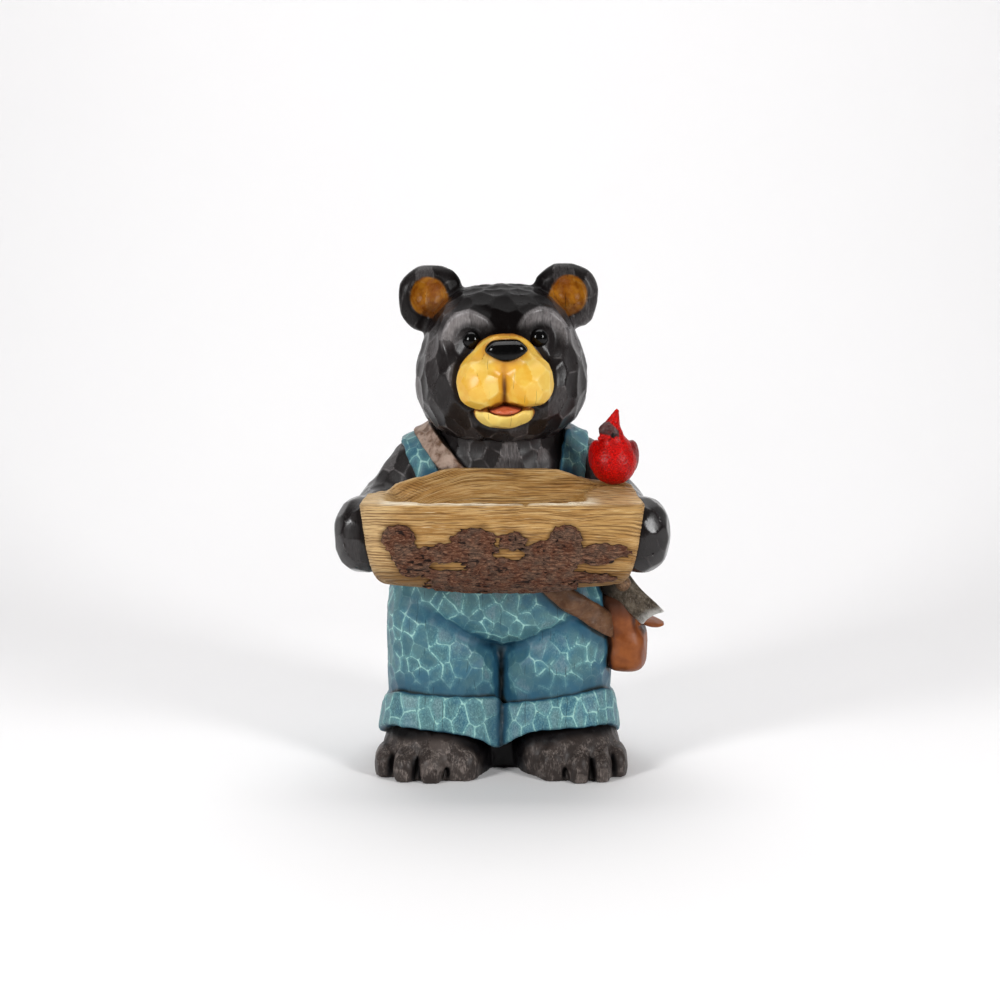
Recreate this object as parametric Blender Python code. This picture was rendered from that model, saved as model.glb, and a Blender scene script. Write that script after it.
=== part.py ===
"""A bear in bib overalls that holds a hollowed half log as a bird bath, with a cardinal on the log's end.

Three castings: the bear with its clothes, satchel and hatchet, the log trough between its paws, and the bird.
Each is a carved-looking free form, so it is written as a field: a function that gives each point's distance
to the surface, negative inside. The zero surface is meshed, given its chip-carved facets, and thinned to flat
triangles.

Metres, +Z up, the bear faces -Y, and the origin is the middle of the flat underside.
"""

import math

import bmesh
import bpy
import numpy as np
import openvdb

# Driving dimensions, in metres
STATUE_HEIGHT = 0.510
LOG_LENGTH = 0.276
LOG_DEPTH = 0.094
LOG_HEIGHT = 0.092
LOG_BACK_RISE = 0.019
LOG_WALL = 0.011
LOG_LEFT_END = 0.010
LOG_LEFT_SLOPE = 0.085
LOG_RIGHT_END = 0.043
LOG_RIGHT_SLOPE = 0.082
LOG_FLOOR = 0.030
BARK_THICKNESS = 0.0038
CARDINAL_HEIGHT = 0.073
OVERALLS_THICKNESS = 0.0035
CUFF_THICKNESS = 0.007
BRACE_WIDTH = 0.026
SATCHEL_STRAP_WIDTH = 0.021
STRAP_THICKNESS = 0.0045
SEAT_CLEARANCE = 0.0004

# Carving and mesh fineness, in metres
CHIP_SIZE = 0.021
CHIP_DEPTH = 0.0016
VOXEL = 0.0024
LOG_VOXEL = 0.0022
CARDINAL_VOXEL = 0.0012
BEAR_TRIANGLES = 6300
LOG_TRIANGLES = 1800
CARDINAL_TRIANGLES = 800

# The bear is drawn in figure units: millimetres on a statue 510 mm tall
FIGURE_UNITS = 510
U = STATUE_HEIGHT / FIGURE_UNITS

# Where the log lies in the bear's arms, in figure units
LOG_MIDDLE_X = 2.0
LOG_BACK_Y = -54.0
LOG_BOTTOM_Z = 205.0

PI = math.pi


# Fields: p is a tuple of arrays (x, y, z)


def blob(p, centre, size, power=2.0):
    """An ellipsoid, or with a power over 2 a boxier one."""
    parts = [np.abs(axis - c) / s for axis, c, s in zip(p, centre, size)]
    reach = (sum(v**power for v in parts) + 1e-9) ** (1 / power)
    slope = np.sqrt(sum((v ** (power - 1) / s) ** 2 for v, s in zip(parts, size)) + 1e-12)
    return (reach - 1) * reach ** (power - 1) / slope


def limb(p, start, end, start_radius, end_radius):
    """A rod with round ends, thinner or thicker towards its end."""
    along = np.subtract(end, start)
    offset = [axis - s for axis, s in zip(p, start)]
    share = sum(o * a for o, a in zip(offset, along)) / np.dot(along, along)
    share = np.clip(share, 0, 1)
    gap = [o - a * share for o, a in zip(offset, along)]
    radius = start_radius + (end_radius - start_radius) * share
    return np.sqrt(sum(g * g for g in gap)) - radius


def join(a, b, blend=0.0):
    """Both shapes, with a fillet of about this size where they meet."""
    if blend <= 0:
        return np.minimum(a, b)
    close = np.maximum(blend - np.abs(a - b), 0) / blend
    return np.minimum(a, b) - close * close * blend / 4


def common(a, b, blend=0.0):
    """What lies in both shapes."""
    return -join(-a, -b, blend)


def cut(a, b, blend=0.0):
    """The first shape less the second."""
    return common(a, -b, blend)


def ease(value, low, high):
    """0 below low and 1 above high, with a smooth rise between them."""
    t = np.clip((value - low) / (high - low), 0, 1)
    return t * t * (3 - 2 * t)


def turned(p, centre, yaw=0.0, pitch=0.0, roll=0.0):
    """The points as seen from a frame at centre that is turned by these degrees about Z, X and Y."""
    x, y, z = (axis - c for axis, c in zip(p, centre))
    for first, angle in (("z", yaw), ("x", pitch), ("y", roll)):
        c, s = math.cos(math.radians(angle)), math.sin(math.radians(angle))
        if first == "z":
            x, y = x * c + y * s, y * c - x * s
        elif first == "x":
            y, z = y * c + z * s, z * c - y * s
        else:
            z, x = z * c + x * s, x * c - z * s
    return x, y, z


def mirrored(p):
    """The points folded onto the +X side, for what the figure has twice."""
    return np.abs(p[0]), p[1], p[2]


def along_axes(p, origin, forward, up):
    """The points as seen from origin with X forward, Z up and Y across, where up is squared to forward."""
    f = np.array(forward) / np.linalg.norm(forward)
    u = np.array(up) - np.dot(up, f) * f
    u = u / np.linalg.norm(u)
    across = np.cross(u, f)
    offset = [axis - o for axis, o in zip(p, origin)]
    return tuple(sum(o * a for o, a in zip(offset, axis)) for axis in (f, across, u))


# The bear, in figure units

HEAD_CENTRE = (1.2, -6.0, 408.0)
HEAD_YAW = 3.0
HEAD_ROLL = -1.6


def skull(q):
    cranium = blob(q, (0, 2, 12), (73.4, 78, 70.5), 2.6)
    jaw = blob(q, (0, -1, -15.5), (83.8, 79, 59), 2.3)
    return join(cranium, jaw, 26)


def ear_frame(q):
    """The nearer ear's own axes. The ear on the -X side sits a little higher."""
    lift = 2.6 * (q[0] < 0)
    return turned((np.abs(q[0]), q[1], q[2] - lift), (68, 18, 68), yaw=-8, roll=4)


def ears(q):
    disc = blob(ear_frame(q), (0, 0, 0), (32.5, 15, 33), 2.3)
    return cut(disc, ear_cup(q), 4)


def ear_cup(q):
    return blob(ear_frame(q), (4.3, -17, 3.3), (19.5, 15, 21))


def eye_side(q):
    """The points folded onto one eye's side. The eyes sit a little towards +X of the head's middle."""
    return np.abs(q[0] - 1.9), q[1], q[2]


def eye_hollows(q):
    """How far each point sinks into a wide shallow bowl round an eye, less the arc of brow over it."""
    reach = eye_reach(q)
    bowl = 7 * ease(-reach, -1.0, -0.5)
    arc = 2.2 * np.exp(-(((reach - 1.06) / 0.13) ** 2)) * brow_share(q)
    return (bowl - arc) * ease(-q[1], 20, 40)


def eye_reach(q):
    """Distance from the middle of the nearer eye's bowl, as a share of the bowl's own reach."""
    m = eye_side(q)
    return np.hypot((m[0] - 35) / 26, (m[2] - 32) / 31)


def brow_share(q):
    """1 over the outer half of an eye, falling to 0 towards the nose and below."""
    m = eye_side(q)
    return ease(m[2] - 32 + 0.45 * (m[0] - 35), 2, 24)


def eyes(q):
    return blob(eye_side(q), (33, -61, 36.6), (9, 8.5, 9.3))


LIP_MIDDLE = -2.4


def muzzle(q):
    """Two round pads that meet in a groove, which opens to a notch over the mouth."""
    side = q[0] - LIP_MIDDLE
    m = (np.where(side < 0, -1.053 * side, 0.981 * side), q[1], q[2])
    bridge = blob(q, (0, -64, 4), (38, 33, 38.5))
    top = blob(q, (0, -82, 24), (23, 25, 16), 2.2)
    lobe = blob(m, (22.4, -81, -3), (25.1, 30, 24.5), 2.3)
    pads = join(join(bridge, top, 9), lobe, 10)
    cleft = limb(q, (LIP_MIDDLE + 1, -111, 18), (LIP_MIDDLE, -106, -20), 1.2, 2.4)
    notch = limb(q, (LIP_MIDDLE, -107, -8), (LIP_MIDDLE, -97, -33), 1.5, 8)
    return cut(cut(pads, cleft, 4), notch, 5)


def nose(q):
    """A pad that is widest above its middle and narrows to a blunt foot."""
    pad = blob(q, (0.3, -99, 30), (21.8, 17, 10.5), 3.2)
    low, high = 0.60, 1.0
    foot = (np.abs(q[0] - 0.3) * low - (q[2] - 17.2)) / math.hypot(1, low)
    brim = (np.abs(q[0] - 0.3) * high + (q[2] - 53.5)) / math.hypot(1, high)
    return common(common(pad, foot, 3), brim, 3)


def chin(q):
    return blob(q, (-1.5, -70, -31), (29.5, 31, 18), 2.1)


def mouth(q):
    return blob(q, (-1.5, -98, -26), (17, 34, 7.5))


def tongue(q):
    return blob(q, (-1.5, -84, -29.5), (16, 19, 5))


def snout_of(q):
    """The two pads of the muzzle over the hollowed chin, with a groove between them."""
    pads = muzzle(q)
    jaw = cut(chin(q), mouth(q), 2) + 2.4 * np.exp(-((pads / 3) ** 2))
    return join(pads, jaw)


MUZZLE_GUTTER = 3.0


def head(p):
    q = turned(p, HEAD_CENTRE, yaw=HEAD_YAW, roll=HEAD_ROLL)
    face = skull(q) + eye_hollows(q)
    face = join(face, ears(q), 9)
    snout = snout_of(q)
    face = face + MUZZLE_GUTTER * np.exp(-((snout / 4) ** 2))
    face = join(cut(face, mouth(q), 2), snout)
    face = join(face, tongue(q))
    face = join(face, nose(q), 1)
    return join(face, eyes(q), 1)


def torso(p):
    chest = blob(p, (0, 20, 286), (88, 76, 64), 2.3)
    belly = blob(p, (0, 10, 200), (109, 86, 82), 2.3)
    neck = limb(p, (0, 12, 300), (0, 2, 352), 60, 58)
    shoulder = limb(mirrored(p), (40, 16, 305), (75, 14, 301), 35, 33)
    return join(join(join(chest, belly, 30), neck, 20), shoulder, 16)


PAW_Z = 256.0
PAW_Y = -95.0


def paw_x(reach):
    """The log's half length plus reach, as the paws clasp its ends."""
    return LOG_LENGTH / 2 / U + reach


def arms(p):
    m = mirrored((p[0] - LOG_MIDDLE_X / 2, p[1], p[2]))
    elbow = (114, 2, 258)
    upper = limb(m, (80, 12, 297), elbow, 37, 33)
    fore = limb(m, elbow, (paw_x(-9), PAW_Y + 24, PAW_Z), 33, 27)
    return join(upper, fore, 8)


def paws(p):
    m = mirrored((p[0] - LOG_MIDDLE_X, p[1], p[2]))
    return blob(m, (paw_x(-3), PAW_Y, PAW_Z), (29, 34, 37), 2.3)


LEG_X = 55.0
INSEAM_X = 1.4
LAP_FOLDS = ((-84, 177), (INSEAM_X, 125), (92, 169))


def one_leg(p):
    """The points folded about the inseam onto one leg. The leg at +X is a little slimmer."""
    x = p[0] - INSEAM_X
    return np.where(x > 0, x * 1.035, -x), p[1], p[2]


def legs(p):
    m = one_leg(p)
    thigh = blob(m, (LEG_X, 8, 136), (58.5, 74, 80), 3)
    shin = blob(m, (LEG_X, 6, 60), (57, 67, 70), 3)
    seat = blob(p, (0, 40, 130), (92, 64, 62), 2.3)
    inseam = blob(p, (INSEAM_X, -15, 92), (12, 21, 64), 2.3)
    return join(join(join(thigh, shin, 10), seat, 14), inseam, 7)


def lap_line(p):
    """Height over the V where belly and thighs meet, and how far out along it as a share of its arm."""
    left, middle, right = LAP_FOLDS
    low = middle[1]
    side = np.where(p[0] < middle[0], middle[0] - left[0], right[0] - middle[0])
    rise = np.where(p[0] < middle[0], left[1] - low, right[1] - low)
    share = np.abs(p[0] - middle[0]) / side
    return (p[2] - low - rise * share) / np.hypot(1, rise / side), share


def lap_folds(p):
    """How deep the belly's hanging edge is pressed in over the thighs, in a V down to the crotch."""
    away, share = lap_line(p)
    depth = 13 - 6 * ease(share, 0.1, 1.0)
    valley = depth * np.exp(-(np.where(away > 0, away / 7, away / 15) ** 2))
    hang = 3.5 * np.exp(-(((away - 18) / 13) ** 2))
    return (valley - hang) * ease(-share, -1.25, -0.75) * ease(-p[1], 10, 40)


def hem(p):
    """The middle height that the trouser cuffs hang about, which the instep lifts in front."""
    return 26 + 26 * ease(-p[1], -10, 66)


CUFF_FLARE = 0.09


def cuffs(p):
    """The turned-up ends of the legs. They hang lowest at the inseam, and the left one most."""
    m = one_leg(p)
    x = p[0] - INSEAM_X
    base = hem(p)
    right = ease(x, -3, 3)
    high = base + 29 + 0.055 * np.abs(x) - (7.5 - 0.11 * np.abs(x)) * right
    low = base - 30 * ease(-p[1], -10, 66) * np.exp(-np.hypot(x, 5) / (30 - 12.5 * right))
    thick = (CUFF_THICKNESS + OVERALLS_THICKNESS) / U
    flare = 1 + CUFF_FLARE * np.clip((high - p[2]) / (high - low), 0, 1)
    q = ((m[0] - LEG_X) / flare, (m[1] - 6) / flare, m[2])
    shape = blob(q, (0, 0, 66), (56 + thick, 66 + thick, 160), 3)
    return common(shape, common(low - p[2], p[2] - high), 6)


TOES = ((-40, -62, 17.5), (-71.5, -71, 15), (-97.5, -67, 13), (-117.5, -50, 11.5))
TOE_GROOVES = (-57.5, -85.5, -109.5)
TOE_LENGTH = 25.0


def feet(p):
    side = p[0] - 2.0
    m = (np.where(side > 0, 1.15 * (111 - side) - 110, side), p[1], p[2])
    instep = blob(m, (-66, -17, 6), (57, 69, 56), 2.3)
    heel = blob(m, (-64, 42, 8), (48, 44, 40), 2.5)
    inner = blob(p, (38, -20, 20), (26, 54, 36))
    sole = join(join(instep, inner, 12), heel, 20)
    for x, y, radius in TOES:
        toe = blob(m, (x, y, 10), (radius, TOE_LENGTH, radius + 7), 2.5)
        sole = join(sole, toe, 5)
    for groove, (x, y, r), (nx, ny, nr) in zip(TOE_GROOVES, TOES, TOES[1:]):
        front = (y + ny) / 2 - TOE_LENGTH + 1
        crease = limb(m, (groove, front, -6), (groove + 2, front + 15, 26), 2.6, 0.6)
        sole = cut(sole, crease, 5)
    return sole


def web(p):
    """The block that joins the feet, set back between them."""
    return blob(p, (0, 22, 8), (40, 62, 34), 5)


def bib_top(p):
    """How high the overalls reach: a bib in front, a panel behind and lower sides."""
    across = ease(-np.abs(p[0]), -86, -58)
    return 236 + np.where(p[1] < 20, 54, 56) * across


def brace_band(p):
    """Distance outside the two shoulder straps. The one on the -X side leans in more towards the bib."""
    lean = np.where(p[0] < 0, 0.5, 0.14)
    middle = np.where(p[0] < 0, 76, 73) + lean * (p[2] - 312)
    half = BRACE_WIDTH / U / 2
    return np.abs(np.abs(p[0]) - middle) / np.hypot(1, lean) - half


def satchel_band(p):
    """Distance outside the satchel's strap, which slants round the body and is less steep at the satchel."""
    slope = 1.13
    bend = 0.38
    half = SATCHEL_STRAP_WIDTH / U / 2
    middle = p[2] + slope * p[0] - bend * np.maximum(p[0] - 58, 0) - 258
    return np.abs(middle) / np.hypot(1, slope - bend * ease(p[0], 40, 76)) - half


def clothed(p):
    """The body under the overalls."""
    return join(torso(p), legs(p), 7) + lap_folds(p)


SATCHEL_CENTRE = (129, -12, 124)


def overalls(p, body):
    cloth = OVERALLS_THICKNESS / U
    strap = STRAP_THICKNESS / U
    layer = common(body - cloth, p[2] - bib_top(p), 3)
    layer = common(layer, hem(p) + 4 - p[2], 3)
    brace = common(brace_band(p), bib_top(p) - 14 - p[2], 1)
    brace = common(body - cloth - strap, brace, 3)
    return join(layer, brace, 2)


def satchel_strap(p, body):
    reach = (OVERALLS_THICKNESS + STRAP_THICKNESS * 1.5) / U
    above = SATCHEL_CENTRE[2] + 14 - p[2]
    return common(common(body - reach, satchel_band(p), 3), above, 3)


def satchel(p):
    """A soft pouch with its mouth gathered up towards the strap, and a flap that sticks out."""
    q = turned(p, SATCHEL_CENTRE, yaw=-6, roll=3)
    taper = 1 + q[2] * 0.003
    pouch = blob((q[0] * taper, q[1] * taper, q[2]), (0, 0, 0), (21.5, 35, 25), 3.2)
    gather = blob(p, (119, -34, 165), (21, 14, 27))
    flap = turned(q, (22, -2, 26.5), roll=8)
    flap_tongue = blob(flap, (0, 0, 0), (16.5, 18, 3.6))
    return join(join(pouch, gather, 14), flap_tongue, 4)


HATCHET_EYE = (122, -45, 190.5)
HATCHET_FORWARD = (0.72, -0.25, -0.65)
HATCHET_UP = (0.50, -0.52, 0.69)
HATCHET_POLL = -15
HATCHET_EDGE = 43


def hatchet_frame(p):
    """The hatchet's own axes: X towards its edge, Y through its cheeks and Z along its handle."""
    return along_axes(p, HATCHET_EYE, HATCHET_FORWARD, HATCHET_UP)


def hatchet_head(p):
    x, y, z = hatchet_frame(p)
    share = np.clip((x - HATCHET_POLL) / (HATCHET_EDGE - HATCHET_POLL), 0, 1)
    thickness = 9 - 7.4 * share**0.9
    waist = 16 - 2.5 * np.sin(PI * share) ** 2
    cheeks = common(np.abs(y) - thickness, np.abs(z) - waist, 2)
    bow = HATCHET_EDGE + 0.012 * z * z + 0.25 * z - 1
    return common(cheeks, common(HATCHET_POLL - x, x - bow, 1), 2) * 0.95


def hatchet_handle(p):
    """The knob that shows on the hatchet's eye. The rest of the handle is inside the satchel."""
    return limb(hatchet_frame(p), (-1, -3, 8), (-1, -8, 13), 7.8, 7.2)


def bear(p):
    body = clothed(p)
    worn = join(body, join(overalls(p, body), cuffs(p), 2), 0.5)
    worn = join(worn, satchel_strap(p, body), 1)
    fur = join(join(arms(p), paws(p), 6), head(p), 4)
    figure = join(worn, fur, 5)
    figure = join(figure, join(feet(p), web(p), 4), 2)
    tools = join(join(satchel(p), hatchet_handle(p), 2), hatchet_head(p), 1)
    return join(figure, tools, 3)


# The log trough, in figure units


def log_frame(p):
    """The points from the middle of the log's underside, as if its back were upright at Y = 0."""
    return p[0] - LOG_MIDDLE_X, p[1] - LOG_BACK_Y, p[2] - LOG_BOTTOM_Z


LOG_RIM = (
    (-138, -0.25), (-114, -0.2), (-106, 0.15), (-96, 0.34), (-88, 0.46), (-76, 0.58), (-60, 0.9), (-48, 1),
    (53, 0.97), (70, 0.66), (90, 0.38), (120, 0.32), (138, 0.05),
)
LOG_SAG = (3.0, 9.0)


def log_rim(q):
    """How high the log's split top stands: level in front, with a broken hump along the back."""
    behind = ease(q[1], -42, -12)
    x, rise = zip(*LOG_RIM)
    hump = np.interp(q[0], x, rise)
    return LOG_HEIGHT / U + LOG_BACK_RISE / U * behind * hump


def log_outside(p, bark=False):
    """The round underside, upright faces and slightly tapered ends, with no hollow."""
    q = log_frame(p)
    half, depth = LOG_LENGTH / 2 / U, LOG_DEPTH / U
    radius = depth / 2
    sag = LOG_SAG[0] - LOG_SAG[1] * (q[0] / half) ** 2
    low = np.maximum(radius - q[2] - sag, 0)
    trunk = np.hypot(q[1] + radius, low) - radius
    trunk = np.maximum(trunk, np.abs(q[1] + radius) - radius)
    taper = 0.14 * np.maximum(88 - q[2], 0) + 0.1 * np.clip(q[1] + depth, 0, depth)
    ends = np.abs(q[0]) - (half - taper)
    whole = common(trunk, ends, 12)
    if bark:
        whole = whole - BARK_THICKNESS / U * bark_cover(q)
    return common(whole, q[2] - log_rim(q), 3)


BARK_PATCHES = (
    (-99, 57, 16, 14), (-94, 44, 14, 14), (-87, 31, 14, 13), (-42, 43, 42, 10), (-27, 55, 22, 13),
    (10, 55, 14, 9), (0, 21, 77, 17), (47, 40, 31, 15), (61, 55, 16, 16), (0, 6, 72, 14),
    (92, 42, 20, 11), (110, 45, 14, 5.5), (88, 16, 21, 6),
)
BARK_GAPS = ((6, 42.4, 13, 4), (-52, 30, 19, 4.5))


def oval(q, patch):
    """Distance outside an oval that lies on the log's front, given as middle and reaches."""
    x, z, reach_x, reach_z = patch
    share = np.hypot((q[0] - x) / reach_x, (q[2] - z) / reach_z)
    return (share - 1) * min(reach_x, reach_z)


def bark_cover(q):
    """1 where bark still clings to the log's lower front and underside."""
    outside = oval(q, BARK_PATCHES[0])
    for patch in BARK_PATCHES[1:]:
        outside = join(outside, oval(q, patch), 3)
    for gap in BARK_GAPS:
        outside = np.maximum(outside, -oval(q, gap))
    return ease(-outside, -1, 2.5) * ease(-q[1], 4, 12)


def log_hollow(p):
    """The water's place: a basin with steep long walls, whose floor slopes up to the log's ends."""
    q = log_frame(p)
    half, depth = LOG_LENGTH / 2 / U, LOG_DEPTH / U
    floor, top = LOG_FLOOR / U, LOG_HEIGHT / U
    left, right = LOG_LEFT_END / U - half, half - LOG_RIGHT_END / U
    inside = ease(q[0], left, left + LOG_LEFT_SLOPE / U)
    inside = np.minimum(inside, ease(-q[0], -right, LOG_RIGHT_SLOPE / U - right))
    bottom = top + 3 - (top + 3 - floor) * inside
    lip = 4.5 * ease(q[2], top - 9, top + 1)
    across = depth / 2 - LOG_WALL / U - 0.06 * np.maximum(top - q[2], 0) + lip
    narrow = 10 * (1 - inside)
    walls = np.abs(q[1] + depth / 2 - narrow / 2) - (across - narrow / 2)
    return common(walls * 0.9, (bottom - q[2]) * 0.6, 10)


def log_trough(p):
    return cut(log_outside(p, bark=True), log_hollow(p), 2)


# The cardinal, in millimetres of a bird 73 mm tall, from the middle of its underside

CARDINAL_UNITS = 73
V = CARDINAL_HEIGHT / CARDINAL_UNITS
CARDINAL_HEAD_TURN = 55
PERCH_INSET = 0.027
PERCH_BACK = 0.013


def cardinal_head_frame(p):
    return turned(p, (-3.2, -2, 48), yaw=-CARDINAL_HEAD_TURN)


def crest(h):
    face = limb(h, (0, -4, 5), (0, -7.5, 6), 9, 7)
    return join(face, limb(h, (0, 0, 9), (0, 6, 23.8), 8.5, 2.2), 3)


def beak(h):
    return limb(h, (0, -8, 0), (0, -15, -1.6), 4.8, 2.1)


def cardinal_body(p):
    breast = blob(p, (-1, 0, 21.5), (22.5, 23, 22.5), 2.05)
    shoulders = blob(p, (0, 2, 36), (14, 14, 12))
    back = limb(p, (0, 10, 27), (0, 22, 16), 14, 8)
    return join(join(breast, shoulders, 9), back, 8)


def wings(p):
    m = mirrored((p[0] + 0.3, p[1], p[2]))
    wing = turned(m, (17, 8, 26), yaw=-10, pitch=-25)
    return blob(wing, (0, 1, 0), (7.2, 18, 15.5), 2.2)


def tail(p):
    q = turned(p, (0, 24, 14), pitch=4)
    return blob(q, (0, 7, 0), (8, 17, 4), 3)


def cardinal(p):
    h = cardinal_head_frame(p)
    bird = join(cardinal_body(p), blob(h, (0, 0, 0), (11, 11.5, 11.5)), 5)
    bird = join(bird, crest(h), 3)
    bird = join(bird, beak(h), 1.5)
    bird = join(bird, wings(p), 1.5)
    return join(bird, tail(p), 3)


# Chip carving


def scatter(low, high, spacing):
    """Points of a lattice with each one nudged by a fixed pattern."""
    counts = [max(2, int(math.ceil((h - l) / spacing))) for l, h in zip(low, high)]
    grid = np.stack(np.meshgrid(*(np.arange(n) for n in counts), indexing="ij"), -1).reshape(-1, 3)
    steps = np.array([[12.9898, 39.425, 73.156], [78.233, 11.135, 52.235], [37.719, 83.155, 9.151]])
    wave = np.sin(grid @ steps)
    nudge = np.mod(np.abs(wave) * 43758.5453, 1.0) - 0.5
    return np.array(low) + (grid + 0.5 + 0.7 * nudge) * spacing


def slope_of(field, points, step=0.4):
    """The field's direction of growth at each point, as unit vectors."""
    base = points.T
    gradient = np.empty_like(points)
    for axis in range(3):
        ahead, behind = base.copy(), base.copy()
        ahead[axis] += step
        behind[axis] -= step
        gradient[:, axis] = field(tuple(ahead)) - field(tuple(behind))
    return gradient / (np.linalg.norm(gradient, axis=1, keepdims=True) + 1e-9)


def carving_centres(field, low, high, spacing):
    """Points spread evenly over the zero surface: the middles of the chips."""
    points = scatter(low, high, spacing * 0.6)
    points = points[np.abs(field(tuple(points.T))) < spacing * 0.5]
    for _ in range(3):
        points = points - slope_of(field, points) * field(tuple(points.T))[:, None]
    kept = np.zeros(len(points), bool)
    blocked = np.zeros(len(points), bool)
    for i, point in enumerate(points):
        if blocked[i]:
            continue
        kept[i] = True
        blocked |= ((points - point) ** 2).sum(1) < (0.8 * spacing) ** 2
    return points[kept]


def chip_depth(points, centres, spacing):
    """How far each point stands proud of its chip's middle: 0 there, 1 half a spacing away."""
    nearest = np.empty(len(points))
    for start in range(0, len(points), 20000):
        some = points[start : start + 20000]
        square = (some**2).sum(1)[:, None] + (centres**2).sum(1)[None] - 2 * some @ centres.T
        nearest[start : start + 20000] = square.min(1)
    return np.clip(nearest, 0, (0.8 * spacing) ** 2) / (spacing / 2) ** 2


# Meshes


def zero_surface(field, low, high, voxel):
    """Points and quads of the surface where the field is zero."""
    counts = [int(math.ceil((h - l) / voxel)) + 1 for l, h in zip(low, high)]
    axes = [l + voxel * np.arange(n) for l, n in zip(low, counts)]
    values = np.empty(counts, np.float32)
    for i, x in enumerate(axes[0]):
        y, z = np.meshgrid(axes[1], axes[2], indexing="ij")
        values[i] = field((np.full_like(y, x), y, z))
    grid = openvdb.FloatGrid(3.0 * voxel)
    grid.copyFromArray(np.clip(values, -3.0 * voxel, 3.0 * voxel))
    points, quads = grid.convertToQuads(isovalue=0.0)
    return np.array(low) + points.astype(float) * voxel, quads


def thinned(obj, triangles):
    """Collapses the mesh to about this many triangles, which follow its facets."""
    obj.data.calc_loop_triangles()
    modifier = obj.modifiers.new("thin", "DECIMATE")
    modifier.ratio = min(1.0, triangles / len(obj.data.loop_triangles))
    graph = bpy.context.evaluated_depsgraph_get()
    mesh = bpy.data.meshes.new_from_object(obj.evaluated_get(graph))
    obj.modifiers.clear()
    obj.data = mesh


def trimmed(obj, z):
    """Cuts off what is below this height and closes the mesh flat there."""
    bm = bmesh.new()
    bm.from_mesh(obj.data)
    whole = bm.verts[:] + bm.edges[:] + bm.faces[:]
    made = bmesh.ops.bisect_plane(
        bm, geom=whole, dist=1e-6, plane_co=(0, 0, z), plane_no=(0, 0, 1), clear_inner=True
    )
    edges = [e for e in made["geom_cut"] if isinstance(e, bmesh.types.BMEdge)]
    bmesh.ops.holes_fill(bm, edges=edges)
    bmesh.ops.triangulate(bm, faces=bm.faces[:])
    bmesh.ops.recalc_face_normals(bm, faces=bm.faces[:])
    bm.to_mesh(obj.data)
    bm.free()


def new_object(name, points, faces, material):
    mesh = bpy.data.meshes.new(name)
    mesh.from_pydata(points.tolist(), [], [tuple(f) for f in faces])
    mesh.validate()
    obj = bpy.data.objects.new(name, mesh)
    bpy.context.scene.collection.objects.link(obj)
    mesh.materials.append(material)
    return obj


def painted(name, color, roughness, metallic=0.0):
    material = bpy.data.materials.new(name)
    material.use_nodes = True
    shader = material.node_tree.nodes["Principled BSDF"]
    shader.inputs["Base Color"].default_value = (*color, 1.0)
    shader.inputs["Roughness"].default_value = roughness
    shader.inputs["Metallic"].default_value = metallic
    material.diffuse_color = (*color, 1.0)
    return material


def seat_cutter(log):
    """The log grown by the clearance, to be cut from what holds it or stands on it."""
    bm = bmesh.new()
    bm.from_mesh(log.data)
    bm.normal_update()
    for vertex in bm.verts:
        vertex.co += vertex.normal * SEAT_CLEARANCE
    mesh = bpy.data.meshes.new("log_seat")
    bm.to_mesh(mesh)
    bm.free()
    cutter = bpy.data.objects.new("log_seat", mesh)
    bpy.context.scene.collection.objects.link(cutter)
    cutter.hide_render = True
    cutter.display_type = "WIRE"
    return cutter


def seated(obj, cutter):
    modifier = obj.modifiers.new("seat", "BOOLEAN")
    modifier.operation = "DIFFERENCE"
    modifier.object = cutter


# The three castings

BEAR_LOW = (-178, -152, -8)
BEAR_HIGH = (182, 124, 520)


def make_bear():
    def held(p):
        return cut(bear(p), log_outside(p, bark=True) - SEAT_CLEARANCE / U)

    reach = max(0.0, paw_x(0) - 134)
    low = (BEAR_LOW[0] - reach, *BEAR_LOW[1:])
    high = (BEAR_HIGH[0] + reach, *BEAR_HIGH[1:])
    points, faces = zero_surface(held, low, high, VOXEL / U)
    chip = CHIP_SIZE / U
    centres = carving_centres(bear, low, high, chip)
    proud = chip_depth(points, centres, chip) * CHIP_DEPTH / U - 0.6 * CHIP_DEPTH / U
    carved = ease(np.abs(held(tuple(points.T)) - bear(tuple(points.T))), -1, 0.5)
    points = points + slope_of(held, points) * (proud * (2 - 2 * carved))[:, None]
    obj = new_object("bear", points * U, faces, painted("bear_paint", (0.035, 0.032, 0.034), 0.45))
    thinned(obj, BEAR_TRIANGLES)
    trimmed(obj, 0.0)
    return obj


def make_log():
    half, depth, height = LOG_LENGTH / 2 / U, LOG_DEPTH / U, (LOG_HEIGHT + LOG_BACK_RISE) / U
    margin = 8
    low = (LOG_MIDDLE_X - half - margin, LOG_BACK_Y - depth - margin, LOG_BOTTOM_Z - margin)
    high = (LOG_MIDDLE_X + half + margin, LOG_BACK_Y + margin, LOG_BOTTOM_Z + height + margin)
    points, faces = zero_surface(log_trough, low, high, LOG_VOXEL / U)
    obj = new_object("log_trough", points * U, faces, painted("log_paint", (0.42, 0.27, 0.11), 0.6))
    thinned(obj, LOG_TRIANGLES)
    return obj


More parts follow.
